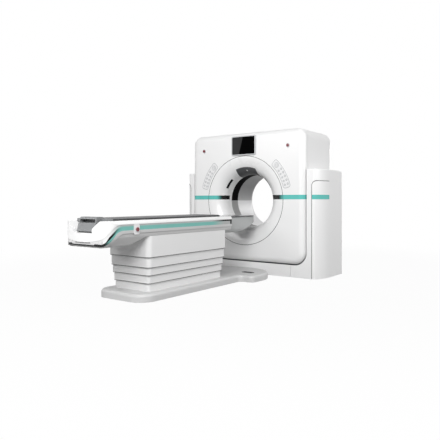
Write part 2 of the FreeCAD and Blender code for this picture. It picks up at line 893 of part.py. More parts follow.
def pillar_form(inset):
    """The right-hand pillar as a closed form, drawn in by inset."""
    front = -size.pillar_front.value + inset
    rear = size.pillar_rear.value - inset
    inner = PILLAR_INNER + inset
    outer = size.pillar_half_span.value - inset
    across = size.pillar_half_span.value - size.door_edge.value - 3
    along = size.pillar_round_depth.value
    # a tight arc that turns by 60 degrees, then a wide one to the side
    turn = math.radians(60)
    share = math.sin(turn)
    spread = share / (1 - math.cos(turn))
    wide = (across - along * spread) / (1 - share - math.cos(turn) * spread)
    tight = (along - wide * math.cos(turn)) / (1 - math.cos(turn))
    tight -= inset
    wide -= inset
    tight_centre = (outer + inset - across, front + tight)
    wide_centre = (outer - wide, -size.pillar_front.value + along)

    def on_arc(centre, radius, angle):
        return (centre[0] + radius * math.sin(angle), centre[1] - radius * math.cos(angle), 0)

    start = on_arc(tight_centre, tight, 0)
    bend = on_arc(tight_centre, tight, turn)
    end = on_arc(wide_centre, wide, math.pi / 2)
    corner = 50 - inset
    edges = [
        line_between((inner, front, 0), start),
        arc_between(start, on_arc(tight_centre, tight, turn / 2), bend),
        arc_between(bend, on_arc(wide_centre, wide, (turn + math.pi / 2) / 2), end),
        line_between(end, (outer, rear - corner, 0)),
        arc_between(
            (outer, rear - corner, 0),
            (outer - corner * (1 - math.sqrt(0.5)), rear - corner * (1 - math.sqrt(0.5)), 0),
            (outer - corner, rear, 0),
        ),
        line_between((outer - corner, rear, 0), (inner, rear, 0)),
        line_between((inner, rear, 0), (inner, front, 0)),
    ]
    height = size.pillar_height.value - inset
    form = Part.Face(Part.Wire(edges)).extrude(Vector(0, 0, height))
    top = [edge for edge in form.Edges if abs(edge.BoundBox.ZMin - height) < 0.01]
    return form.makeFillet(14 - inset, top)


def door_region(grow):
    """What the door takes up: everything outside its edge and under its top."""
    corner = size.door_corner_radius.value + grow
    low = size.door_edge.value - grow
    top = size.door_top.value + grow
    outline = [(low, -10, 0), (3000, -10, 0), (3000, top, 0), (low, top, corner)]
    return prism(outline, xz, -2000, 4000)


def make_pillars():
    gap = size.seam_gap.value
    shell = pillar_form(0).cut(pillar_form(WALL))
    lining = pillar_form(WALL).cut(pillar_form(2 * WALL))
    door = shell.common(door_region(0))
    fixed = shell.cut(door_region(gap))
    # a rebate behind the open joint carries the door's edge
    ledge = lining.common(door_region(gap + 12)).cut(door_region(-12))
    wing_top = size.cover_bottom.value + size.bottom_corner_radius.value + size.pillar_gap.value
    wing = block(
        size.plinth_half_width.value + gap / 2,
        PILLAR_INNER + WALL,
        -size.pillar_front.value,
        -size.pillar_front.value + size.plinth_wall.value,
        0,
        wing_top,
    ).cut(prism(cover_outline(size.plinth_height.value - size.cover_bottom.value), xz, -500, 1000))
    sill = block(
        PILLAR_INNER - 10,
        PILLAR_INNER + WALL + 10,
        -size.pillar_front.value + size.plinth_wall.value,
        size.pillar_rear.value - WALL,
        -1,
        size.floor_plate_thickness.value + size.beam_height.value + gap,
    )
    trunnion = Part.makeCylinder(
        size.trunnion_radius.value + 2 * gap, 200, Vector(PILLAR_INNER - 50, 0, ISO), Vector(1, 0, 0)
    )
    fixed = solid_of(fixed.fuse(ledge).cut(sill).cut(trunnion).fuse(wing))
    door = solid_of(door)
    finished(feature("pillar_shell_right", fixed), "pillar_shell_right")
    twin = fixed.mirror(Vector(), Vector(1, 0, 0))
    finished(feature("pillar_shell_left", twin), "pillar_shell_left")
    finished(feature("pillar_doors", both_sides(door)), "pillar_doors")

    low, high = stripe_span()
    skin = pillar_form(-size.stripe_proud.value).cut(pillar_form(0))
    reach = -size.pillar_front.value + size.pillar_round_depth.value
    strip = skin.common(block(size.door_edge.value + 2, FAR, -FAR, reach, low, high))
    finished(feature("pillar_stripes", solid_of(strip)), "pillar_stripes")


def make_plinth():
    half = size.plinth_half_width - size.seam_gap / 2
    body = new_body("plinth_cover")
    front = sketch_on(
        body,
        "XZ_Plane",
        [rectangle(-half, 0, half, size.plinth_height)],
        offset=size.pillar_front - size.plinth_wall,
    )
    pad(body, front, size.plinth_wall)
    finished(body, "plinth_cover")


# ---------------------------------------------------------------- base frame and tilt frame


def make_base_frame():
    outer = size.upright_offset + size.upright_thickness
    thick = size.floor_plate_thickness
    plinth_back = -(size.pillar_front - size.plinth_wall)
    front = plinth_back + 55
    rear = size.pillar_rear - 30
    plate = box("floor_plate", (-outer, front, 0), (outer, rear, thick))
    pieces = [plate]
    beam_top = thick + size.beam_height
    short = outer - 100
    pieces.append(box("front_beam", (-short, plinth_back, thick), (short, front + 25, beam_top)))
    pieces.append(box("rear_beam", (-outer, rear - 80, thick), (outer, rear, beam_top)))
    top = size.iso_height + size.bearing_block_radius
    for side in (-1, 1):
        upright = new_body("upright_left" if side < 0 else "upright_right")
        start = size.upright_offset - size.upright_thickness / 2
        plane_at = start if side > 0 else -(start + size.upright_thickness)
        half = size.bearing_block_radius
        outline = [
            (front + 10, thick),
            (rear - 10, thick),
            (half, top),
            (-half, top),
        ]
        drawing = sketch_on(upright, "YZ_Plane", [outline], offset=plane_at)
        pad(upright, drawing, size.upright_thickness)
        pieces.append(upright)
    frame = fused("base_frame_blank", pieces)
    holes = []
    for side_x in (-1, 1):
        seat = cylinder(
            "bearing_seat",
            size.bearing_block_radius - 20,
            size.upright_thickness + 20,
            (size.upright_offset * side_x - size.upright_thickness / 2 - 10, 0, size.iso_height),
            ALONG_X,
        )
        holes.append(seat)
        for side_y in (-1, 1):
            x = size.anchor_spacing_x / 2 * side_x
            y = anchor_middle() + size.anchor_spacing_y / 2 * side_y
            holes.append(cylinder("anchor_hole", size.anchor_radius, thick + 2, (x, y, -1)))
    finished(cut("base_frame", frame, fused("base_frame_holes", holes)), "base_frame")


def anchor_middle():
    """Halfway between the beams, front to back."""
    return (size.pillar_rear - 30 - (size.pillar_front - size.plinth_wall)) / 2


def make_tilt_bearings():
    bearings = []
    for side in (-1, 1):
        name = "tilt_bearing_left" if side < 0 else "tilt_bearing_right"
        body = new_body(name, size.iso_height)
        bore = size.trunnion_radius + size.running_clearance
        inner = size.upright_offset - size.upright_thickness / 2
        flange = inner - 12
        seat = size.bearing_block_radius - 20
        corners = [
            (flange, bore),
            (inner + size.upright_thickness + 8, bore),
            (inner + size.upright_thickness + 8, seat),
            (inner, seat),
            (inner, size.bearing_block_radius),
            (flange, size.bearing_block_radius),
        ]
        if side < 0:
            corners = [(-corner[0], corner[1]) for corner in corners]
        section = sketch_on(body, "XZ_Plane", [corners])
        revolve(body, section)
        bearings.append(body)
    finished(grouped("tilt_bearings", bearings), "tilt_bearings")


def make_tilt_frame():
    half = size.cover_half_width - size.cover_wall
    plate = new_body("frame_plate", size.iso_height)
    front = size.frame_front
    wide = size.rotor_radius + 35
    outline = [
        (-wide, -560),
        (-560, -735),
        (560, -735),
        (wide, -560),
        (wide, 560),
        (560, 790),
        (-560, 790),
        (-wide, 560),
    ]
    drawing = sketch_on(plate, "XZ_Plane", [outline], offset=-(front + size.frame_thickness))
    pad(plate, drawing, size.frame_thickness)
    opening = sketch_on(plate, "XZ_Plane", [], offset=-front)
    circle = opening.addGeometry(
        Part.Circle(Vector(), Vector(0, 0, 1), size.bearing_outer_radius.value), False
    )
    opening.addConstraint(Sketcher.Constraint("Coincident", circle, 3, -1, 1))
    row = opening.addConstraint(
        Sketcher.Constraint("Radius", circle, size.bearing_outer_radius.value)
    )
    opening.setExpression("Constraints[%d]" % row, size.bearing_outer_radius.text)
    pocket(plate, opening, size.frame_thickness + 2)
    pieces = [plate]
    for side in (-1, 1):
        inner = size.rotor_radius + 20
        low, high = (inner, half) if side > 0 else (-half, -inner)
        pieces.append(
            box(
                "cheek",
                (low, -90, size.iso_height - 120),
                (high, front + size.frame_thickness, size.iso_height + 120),
            )
        )
        reach = size.upright_offset + size.upright_thickness / 2 + 6
        start = size.rotor_radius + 30
        x = start if side > 0 else -reach
        pieces.append(
            cylinder("trunnion", size.trunnion_radius, reach - start, (x, 0, size.iso_height), ALONG_X)
        )
    finished(fused("tilt_frame", pieces), "tilt_frame")


# ---------------------------------------------------------------- rotor and drive


def ring_body(label, low_y, high_y, inner, outer):
    """A plain ring about the bore's axis."""
    body = new_body(label, size.iso_height)
    section = sketch_on(body, "YZ_Plane", [rectangle(low_y, inner, high_y, outer)])
    revolve(body, section)
    return finished(body, label)


def make_rotor():
    front = size.rotor_plate_front
    back = front + size.rotor_plate_thickness
    frame_back = size.frame_front + size.frame_thickness
    hub = size.hub_radius
    body = new_body("rotor_drum", size.iso_height)
    section = sketch_on(
        body,
        "YZ_Plane",
        [
            [
                (front, hub - 25),
                (frame_back, hub - 25),
                (frame_back, bearing_inner_edge()),
                (size.frame_front, bearing_inner_edge()),
                (size.frame_front, hub),
                (back, hub),
                (back, size.rotor_radius),
                (front, size.rotor_radius),
            ]
        ],
    )
    revolve(body, section)
    finished(body, "rotor_drum")
    ring_body(
        "main_bearing",
        size.frame_front,
        frame_back,
        size.split_radius + 1,
        size.bearing_outer_radius,
    )
    ring_body("slip_ring", back, back + size.slip_ring_depth, size.bearing_outer_radius + 30,
              size.rotor_radius - 70)


def bearing_inner_edge():
    return size.split_radius - 1


def make_tube_side():
    front = size.rotor_plate_front
    top = size.iso_height + size.focus_radius
    start = front - size.tube_length
    tube = fused(
        "xray_tube",
        [
            cylinder("tube_housing", size.tube_radius, size.tube_length, (0, start, top), ALONG_Y),
            box(
                "tube_mount",
                (-70, front - size.tube_length / 2, top - size.tube_radius),
                (70, front, top - size.tube_radius / 2),
            ),
            cylinder("tube_end_cap", size.tube_radius - 25, 18, (0, start - 18, top), ALONG_Y),
        ],
    )
    finished(tube, "xray_tube")
    collimator_top = top - size.tube_radius
    collimator = cut(
        "collimator",
        box("collimator_block", (-120, -75, collimator_top - 70), (120, front, collimator_top)),
        box("collimator_slit", (-85, -25, collimator_top - 71), (85, 25, collimator_top + 1)),
    )
    finished(collimator, "collimator")
    generator = document.addObject("Part::Box", "generator_box")
    bind(generator, "Length", 200)
    bind(generator, "Width", 190)
    bind(generator, "Height", 230)
    angle = math.radians(12)
    corner_x = -size.rotor_radius.value * math.cos(angle) + 30
    place(generator, corner_x, front - 190, size.iso_height - 115)
    fins = [generator]
    for row in range(5):
        fins.append(
            box(
                "cooling_fin",
                (corner_x + 20, front - 190 - 14, size.iso_height - 100 + 44 * row),
                (corner_x + 180, front - 190, size.iso_height - 94 + 44 * row),
            )
        )
    finished(fused("hv_generator", fins), "hv_generator")


def make_detector():
    """An arc of detector modules under the bore, opposite the tube, with finned backs."""
    inner = size.detector_radius.value
    outer = inner + size.detector_depth.value
    half_width = size.detector_width.value / 2
    front = size.rotor_plate_front.value
    span_angle = size.detector_half_angle.value

    def sector(r0, r1, y0, y1, half_angle):
        face = Part.Face(
            Part.makePolygon(
                [Vector(0, y0, ISO - r0), Vector(0, y1, ISO - r0), Vector(0, y1, ISO - r1),
                 Vector(0, y0, ISO - r1), Vector(0, y0, ISO - r0)]
            )
        )
        face.rotate(Vector(0, 0, ISO), Vector(0, 1, 0), -half_angle)
        return face.revolve(Vector(0, 0, ISO), Vector(0, 1, 0), 2 * half_angle)

    arc = sector(inner, outer - 30, -half_width, half_width, span_angle)
    carrier = sector(inner + 10, outer, half_width, front, span_angle)
    fins = []
    modules = round(2 * span_angle / 4.1)
    step = 2 * span_angle / modules
    for index in range(modules):
        fin = sector(outer - 31, outer, -half_width + 8, half_width, step * 0.28)
        fin.rotate(Vector(0, 0, ISO), Vector(0, 1, 0), -span_angle + step * (index + 0.5))
        fins.append(fin)
    detector = arc.multiFuse([carrier] + fins)
    finished(feature("detector", solid_of(detector)), "detector")


def make_drive():
    """A motor in the tilt frame's corner turns the rotor's rim through a flat belt."""
    centre_x = size.pulley_offset.value
    centre_z = ISO - size.pulley_drop.value
    low = size.rotor_plate_front.value + 4
    width = size.belt_width.value
    thick = size.belt_thickness.value
    small = size.pulley_radius.value
    frame_front = size.frame_front.value
    way = Vector(0, 1, 0)

    motor_start = low + width + 14
    motor = Part.makeCylinder(
        58, frame_front - motor_start, Vector(centre_x, motor_start, centre_z), way
    )
    foot = block(centre_x - 50, centre_x + 50, low + width + 20, frame_front, centre_z - 58, centre_z)
    shaft = Part.makeCylinder(12, 12, Vector(centre_x, low + width + 4, centre_z), way)
    finished(feature("drive_motor", motor.fuse([foot, shaft]).removeSplitter()), "drive_motor")

    pulley = Part.makeCylinder(small, width, Vector(centre_x, low, centre_z), way)
    for side in (low - 3, low + width):
        pulley = pulley.fuse(Part.makeCylinder(small + 9, 3, Vector(centre_x, side, centre_z), way))
    finished(feature("drive_pulley", pulley.removeSplitter()), "drive_pulley")

    gap = 0.3
    rim = size.rotor_radius.value + gap
    loops = []
    for extra in (thick, 0):
        wire = belt_loop(rim + extra, small + gap + extra, low, centre_x, centre_z)
        loops.append(Part.Face(wire).extrude(way * width))
    finished(feature("drive_belt", loops[0].cut(loops[1])), "drive_belt")


def belt_loop(big, small, y, centre_x, centre_z):
    drop = ISO - centre_z
    distance = math.hypot(centre_x, drop)
    line_angle = math.atan2(-drop, centre_x)
    open_angle = math.acos((big - small) / distance)

    def at(x, z, radius, angle):
        return (x + radius * math.cos(angle), y, z + radius * math.sin(angle))

    first = line_angle + open_angle
    last = line_angle - open_angle
    return Part.Wire(
        [
            arc_between(
                at(0, ISO, big, first), at(0, ISO, big, line_angle + math.pi), at(0, ISO, big, last)
            ),
            line_between(at(0, ISO, big, last), at(centre_x, centre_z, small, last)),
            arc_between(
                at(centre_x, centre_z, small, last),
                at(centre_x, centre_z, small, line_angle),
                at(centre_x, centre_z, small, first),
            ),
            line_between(at(centre_x, centre_z, small, first), at(0, ISO, big, first)),
        ]
    )


# ---------------------------------------------------------------- couch pedestal


def make_tiers():
    """Five open sleeves, each inside the one above it."""
    bottoms = (
        size.tier_1_bottom,
        size.tier_2_bottom,
        size.tier_3_bottom,
        size.tier_4_bottom,
        size.base_height,
    )
    for index, bottom in enumerate(bottoms):
        label = "pedestal_tier_%d" % (index + 1)
        body = new_body(label)
        inset = size.tier_step * index
        half = size.tier_half_width - inset
        foot = -(size.tier_foot_end - inset)
        head = -(size.tier_head_end + inset)
        height = size.couch_underside - bottom if index == 0 else size.tier_height
        wall = size.tier_wall
        corner = size.tier_corner_radius - inset * 0.6
        outer = rounded_rectangle(-half, foot, half, head, corner)
        inner = rounded_rectangle(
            wall - half, foot + wall, half - wall, head - wall, corner - wall
        )
        pad(body, sketch_on(body, "XY_Plane", [outer, inner], offset=bottom), height)
        finished(body, label)


def square_tube(name, half, wall, low, high):
    centre = -size.column_centre
    outside = box(name + "_outside", (-half, centre - half, low), (half, centre + half, high))
    inside = box(
        name + "_inside",
        (wall - half, centre - half + wall, low - 1),
        (half - wall, centre + half - wall, high + 1),
    )
    return cut(name + "_tube", outside, inside)


def make_lift_column():
    """Five nested square tubes; the lowest stands on the floor plate, the top one carries the couch."""
    length = size.column_stage_length
    wall = size.column_wall
    step = wall + size.column_clearance
    half = size.column_half_size
    wide = size.base_half_width - size.cover_wall
    plate = box(
        "couch_floor_plate",
        (-wide, -(size.column_centre + half * 4), 0),
        (wide, -(size.column_centre - half * 4), size.floor_plate_thickness),
    )
    stage = square_tube(
        "lift_stage_5", half, wall, size.floor_plate_thickness, size.floor_plate_thickness + length + 50
    )
    finished(fused("lift_stage_5", [plate, stage]), "lift_stage_5")
    for index in (4, 3, 2):
        inset = step * (5 - index)
        low = size.floor_plate_thickness + size.stage_rise * (5 - index)
        stage = square_tube("lift_stage_%d" % index, half - inset, wall, low, low + length)
        finished(stage, "lift_stage_%d" % index)
    inset = step * 4
    underside = size.couch_underside
    head_half = size.column_half_size + 30
    low = size.floor_plate_thickness + size.stage_rise * 4
    tube = square_tube("lift_stage_1", half - inset, wall, low, underside - 20)
    head = box(
        "lift_head",
        (-head_half, -(size.column_centre + head_half * 2), underside - 20),
        (head_half, -(size.column_centre - head_half * 2), underside + 10),
    )
    finished(fused("lift_stage_1", [tube, head]), "lift_stage_1")


def base_outline(inset):
    """The couch base seen from above: a strip that widens towards the gantry."""
    half = size.base_half_width.value - inset
    lobe = size.base_lobe_half_width.value - inset
    foot = -size.base_foot_end.value + inset
    head = -size.pillar_front.value - inset
    widen = -size.base_lobe_start.value + inset
    foot_corner = 160 - inset
    shoulder = 60 + inset
    lobe_corner = 60 - inset
    head_corner = 420 - inset
    right = [
        (half, foot, foot_corner),
        (half, widen, shoulder),
        (lobe, widen, lobe_corner),
        (lobe, head, head_corner),
    ]
    left = [(-u, v, radius) for u, v, radius in reversed(right)]
    return right + left


def make_couch_base():
    height = size.base_height.value
    wall = WALL
    outside = prism(base_outline(0), xy, 0, height)
    top = [edge for edge in outside.Edges if abs(edge.BoundBox.ZMin - height) < 0.01]
    outside = outside.makeFillet(size.base_edge_radius.value, top)
    inside = prism(base_outline(wall), xy, -1, height - wall + 1)
    half = size.column_half_size.value + 3
    centre = -size.column_centre.value
    hole = block(-half, half, centre - half, centre + half, 0, height + 1)
    slots = []
    for side in (-1, 1):
        slots.append(floor_fixing(side, height - 3, 6))
    cover = outside.cut(inside).cut(hole)
    cover = cover.cut(Part.makeCompound(slots))
    finished(feature("couch_base_cover", solid_of(cover)), "couch_base_cover")
    fixings = [floor_fixing(side, height - 3, 2) for side in (-1, 1)]
    finished(feature("floor_fixings", Part.makeCompound(fixings)), "floor_fixings")


def floor_fixing(side, low, depth):
    """A dark oval cover let into the base's top, beside the bore."""
    long_half = 85
    short_half = 40
    middle_x = side * 295
    middle_y = -650
    corners = [
        (middle_x - long_half, middle_y - short_half, short_half - 1),
        (middle_x + long_half, middle_y - short_half, short_half - 1),
        (middle_x + long_half, middle_y + short_half, short_half - 1),
        (middle_x - long_half, middle_y + short_half, short_half - 1),
    ]
    return prism(corners, xy, low, depth)


# ---------------------------------------------------------------- couch top


def couch_plan(inset, head_end):
    """The couch seen from above: a bowed foot end between two round corners."""
    bow = size.foot_bow.value
    bend = size.foot_bow_radius.value
    half = size.couch_half_width.value
    slant = math.atan2(bow, half)
    peak = -size.couch_foot_end.value - bend * (1 / math.cos(slant) - 1) + inset / math.cos(slant)
    half -= inset
    corner = size.couch_corner_radius.value - inset
    shoulder = peak + half * math.tan(slant)
    return [
        (-half, shoulder, corner),
        (0, peak, bend - inset),
        (half, shoulder, corner),
        (half, head_end, 0),
        (-half, head_end, 0),
    ]


SLOPE = math.radians(50)  # how steeply the side stripe drops towards the foot end


def s_line(drop):
    """The upper shell's lower edge seen from the side, from the foot end, or its parallel below."""
    high = size.upper_shell_edge.value - drop
    low = size.head_underside.value - drop * 0.3
    crest = -size.couch_foot_end.value + size.stripe_crest.value + drop * 0.62
    bend = crest - (high - low) / math.tan(SLOPE)
    return (bend, low), (crest, high)


def above_line(drop, top):
    """Everything between that line and a level above it, seen from the side."""
    bend, crest = s_line(drop)
    foot = -size.couch_foot_end.value - 200
    head_end = -size.couch_head_end.value
    return [
        (foot, bend[1], 0),
        (bend[0], bend[1], 60),
        (crest[0], crest[1], 130),
        (head_end, crest[1], 0),
        (head_end, top, 0),
        (foot, top, 0),
    ]


def side_prism(corners, half):
    """Extrude a side view across the couch."""
    wire = rounded_wire(corners, yz)
    wire.translate(Vector(-half, 0, 0))
    return Part.Face(wire).extrude(Vector(2 * half, 0, 0))


def couch_form(inset):
    """The couch as one closed form: rounded in plan, at the rim and along its lower edges."""
    top = size.couch_rim.value - inset
    half = size.couch_half_width.value - inset
    low = size.hem.value + inset
    head_end = -size.couch_head_end.value
    foot = -size.couch_foot_end.value + inset
    rim = 30 - inset
    side_corner = size.hem_side_radius.value - inset
    foot_corner = size.hem_foot_radius.value - inset
    flat = half - side_corner
    section = [
        (-half, top, rim),
        (-half, low, side_corner),
        (-flat, low, 0),
        (-flat, 300, 0),
        (flat, 300, 0),
        (flat, low, 0),
        (half, low, side_corner),
        (half, top, rim),
    ]
    side = [
        (foot, top, rim),
        (foot, low, foot_corner),
        (foot + foot_corner, low, 0),
        (foot + foot_corner, 300, 0),
        (head_end, 300, 0),
        (head_end, top, 0),
    ]
    plan = prism(couch_plan(inset, head_end), xy, 0, top)
    return plan.common(prism(section, xz, -FAR, 2 * FAR)).common(side_prism(side, FAR))


def upper_form(inset):
    """The upper shell as a closed form: what of the couch lies above the side stripe."""
    return couch_form(inset).common(side_prism(above_line(-inset, 900), FAR))


def trough(grow):
    """The cradle's channel: a shallow step, a slope and a flat floor."""
    start = -size.couch_foot_end.value + size.mouth_depth.value - grow
    wide = size.trough_half_width.value + grow
    step = size.couch_rim.value - size.trough_depth.value - grow
    low = size.trough_floor_half_width.value + grow
    shoulder = size.trough_shoulder.value - grow
    floor = size.trough_floor.value - grow
    outline = [
        (-wide, 900, 0),
        (-wide, step, 0),
        (-low, shoulder, 0),
        (-low, floor, 0),
        (low, floor, 0),
        (low, shoulder, 0),
        (wide, step, 0),
        (wide, 900, 0),
    ]
    return prism(outline, xz, start, FAR - start).fuse(mouth(grow, start + 2 * grow))


def mouth(grow, end):
    """The channel's narrow foot end, flaring out to the rim."""
    half = size.mouth_half_width.value + grow
    floor = size.trough_floor.value - grow
    # the flare is drawn in square to its slope
    shoulder = size.mouth_shoulder.value - 0.55 * grow
    flare = size.mouth_flare_half_width.value + grow
    rim = size.couch_rim.value - 0.5 - 0.55 * grow
    edge = flare + 24
    outline = [
        (-edge, 900, 0),
        (-edge, rim + 2, 0),
        (-flare, rim, 30),
        (-half, shoulder, 25),
        (-half, floor, 0),
        (half, floor, 0),
        (half, shoulder, 25),
        (flare, rim, 30),
        (edge, rim + 2, 0),
        (edge, 900, 0),
    ]
    return prism(outline, xz, -FAR, FAR + end)


def make_upper_shell():
    outside = upper_form(0)
    inside = upper_form(WALL)
    shell = outside.cut(inside.cut(trough(WALL))).cut(trough(0))
    open_end = block(-1000, 1000, -size.couch_head_end.value - 1, 0, 0, 2000)
    finished(feature("couch_upper_shell", solid_of(shell.cut(open_end))), "couch_upper_shell")


def belly_profile(inset):
    """The lower shell seen from the side: a deep foot end, then shallow over the pedestal."""
    bend, crest = s_line(size.stripe_band.value + inset)
    low = size.belly_underside.value + inset
    level = size.couch_underside.value + inset
    head_end = -size.couch_head_end.value
    rise = -size.tier_foot_end.value - 20
    return [
        (bend[0] - (bend[1] - low) / math.tan(SLOPE), low, 0),
        (rise - 190, low, 160),
        (rise, level, 80),
        (head_end, level, 0),
        (head_end, crest[1], 0),
        (crest[0], crest[1], 130),
    ]


def lower_form(inset, half):
    """The lower shell as a closed form, half as wide as half."""
    head_end = -size.couch_head_end.value
    plan = prism(couch_plan(size.couch_half_width.value - half, head_end), xy, 400, 500)
    low = size.belly_underside.value + inset
    waist = size.couch_underside.value + 6
    section = [
        (-half, 1000, 0),
        (-half, waist, 50),
        (-half + 70, low - 8, 70),
        (half - 70, low - 8, 70),
        (half, waist, 50),
        (half, 1000, 0),
    ]
    side = side_prism(belly_profile(inset), FAR)
    return plan.common(side).common(prism(section, xz, -FAR, 2 * FAR))


def make_lower_shell():
    """A pan under the couch with a bead along its upper edge."""
    half = size.couch_half_width.value
    head_end = -size.couch_head_end.value
    outside = lower_form(0, half - 14)
    inside = lower_form(WALL, half - 14 - WALL)
    crest = s_line(size.stripe_band.value)[1]
    lip_line = side_prism(above_line(size.stripe_band.value + size.lip_height.value, 1500), FAR)
    band_line = side_prism(above_line(size.stripe_band.value, 1500), FAR)
    lip = lip_line.cut(band_line).common(couch_form(3).cut(couch_form(24)))
    top = crest[1] - WALL * 2
    room = block(-half + 60, half - 60, crest[0] + 40, head_end, top, 900)
    column = size.column_half_size.value + 32
    centre = -size.column_centre.value
    hole = block(-column, column, centre - 2 * column, centre + 2 * column, 0, 700)
    shell = outside.cut(inside).fuse(lip).cut(room).cut(hole).cut(trough(WALL + 1))
    finished(feature("couch_lower_shell", solid_of(shell)), "couch_lower_shell")


def make_couch_stripe():
    """The band round the foot end and both sides, under the upper shell."""
    band = side_prism(above_line(size.stripe_band.value, 1500), FAR).cut(
        side_prism(above_line(0, 1500), FAR)
    )
    ring = couch_form(4).cut(couch_form(12))
    finished(feature("couch_stripe", solid_of(band.common(ring))), "couch_stripe")


def make_nose():
    tip = -size.nose_tip.value
    low = size.nose_underside.value
    top = nose_top()
    start = -size.couch_head_end.value
    corner = size.nose_corner_radius.value

    def form(inset):
        side = [
            (start, low + inset, 0),
            (tip - 315, low + inset, 400),
            (tip - 45 - inset, top - 95 + inset, 90),
            (tip - inset, top - 30, 14),
            (tip - inset, top - inset, 4),
            (start, top - inset, 0),
        ]
        half = size.nose_half_width.value - inset
        plan = [
            (-half, start, 0),
            (half, start, 0),
            (half, tip - inset, corner - inset),
            (-half, tip - inset, corner - inset),
        ]
        # the section's floor lies under the side view's, so that its corners meet it at an angle
        floor = low + inset - 8
        section = [
            (-half, floor, 60 - inset),
            (half, floor, 60 - inset),
            (half, 1000, 0),
            (-half, 1000, 0),
        ]
        body = side_prism(side, FAR).common(prism(plan, xy, 0, FAR))
        return body.common(prism(section, xz, -FAR, 2 * FAR))

    axle_y, axle_z = roller_axis()
    radius = size.roller_radius.value
    half = size.roller_half_length.value
    reach = radius + 3
    pocket_box = block(
        -half - 3, half + 3, axle_y - reach, axle_y + reach, axle_z - reach, 1000
    )
    cradle_for_roller = block(
        -half - 14, half + 14, axle_y - radius - 8, axle_y + radius + 8, axle_z - radius - 8, top - 1
    )
    axle = Part.makeCylinder(
        size.axle_radius.value + 0.3, 2 * half + 18, Vector(-half - 9, axle_y, axle_z), Vector(1, 0, 0)
    )
    outside = form(0)
    shell = outside.cut(form(WALL).cut(cradle_for_roller)).cut(pocket_box).cut(axle)
    finished(feature("nose_shell", solid_of(shell)), "nose_shell")

    roller = Part.makeCylinder(radius, 2 * half, Vector(-half, axle_y, axle_z), Vector(1, 0, 0))
    pin = Part.makeCylinder(
        size.axle_radius.value, 2 * half + 16, Vector(-half - 8, axle_y, axle_z), Vector(1, 0, 0)
    )
    finished(feature("nose_roller", roller.fuse(pin).removeSplitter()), "nose_roller")


def nose_top():
    return size.cradle_underside.value - 2


def roller_axis():
    """Just behind the nose's tip, touching the cradle board's underside but for its gap."""
    place_y = -size.nose_tip.value - 90
    place_z = size.cradle_underside.value - size.cradle_gap.value - size.roller_radius.value
    return place_y, place_z


def make_couch_frame():
    """Two long rails in the shells, cross members, and the guide strips that the cradle slides on."""
    low = size.couch_underside.value + 10
    foot = -size.couch_foot_end.value + 140
    head = -size.couch_head_end.value - 2
    rail_top = size.trough_floor.value - WALL
    pieces = []
    for side in (-1, 1):
        x0, x1 = sorted((side * 100, side * 150))
        pieces.append(block(x0, x1, -2560, head, low, rail_top))
    for y in (-2500, -2120, -1722, -1330, head - 50):
        pieces.append(block(-150, 150, y, y + 40, low, rail_top))
    # a tongue with two webs carries the nose
    pieces.append(block(-148, 148, head - 60, head + 100, low, rail_top))
    for side in (-1, 1):
        x0, x1 = sorted((side * 100, side * 112))
        pieces.append(block(x0, x1, head + 4, head + 100, rail_top, nose_top() - WALL))
    frame = pieces[0].multiFuse(pieces[1:])
    finished(feature("couch_frame", solid_of(frame)), "couch_frame")

    strips = []
    slope = (
        (size.couch_rim.value - size.trough_depth.value - size.trough_shoulder.value)
        / (size.trough_half_width.value - size.trough_floor_half_width.value)
    )
    top = size.cradle_underside.value - size.cradle_gap.value
    for side in (-1, 1):
        corners = []
        for x in (158, 182):
            rise = (x - size.trough_floor_half_width.value) * slope
            corners.append((side * x, size.trough_shoulder.value + rise, 0))
        corners.append((side * 182, top, 0))
        corners.append((side * 158, top, 0))
        strips.append(prism(corners, xz, foot, head - foot))
    finished(feature("cradle_guides", Part.makeCompound(strips)), "cradle_guides")


def make_cradle():
    foot = size.handle_recess - size.couch_foot_end
    half = size.cradle_half_width
    tip = -(size.nose_tip + 12)
    board = new_body("cradle_board")
    start = foot + size.handle_depth
    corner = size.nose_corner_radius
    outline = [
        (-half, start),
        (half, start),
        (half, tip - corner),
        (half - corner, tip, -corner),
        (corner - half, tip),
        (-half, tip - corner, -corner),
    ]
    drawing = sketch_on(board, "XY_Plane", [outline], offset=size.cradle_underside)
    pad(board, drawing, size.cradle_thickness)
    finished(board, "cradle_board")

    mattress = new_body("mattress")
    low = size.cradle_underside + size.cradle_thickness
    outline = rounded_rectangle(-half, start + size.handle_lap, half, -size.mattress_head_end, 20)
    pad(mattress, sketch_on(mattress, "XY_Plane", [outline], offset=low), size.mattress_thickness)
    finished(mattress, "mattress")


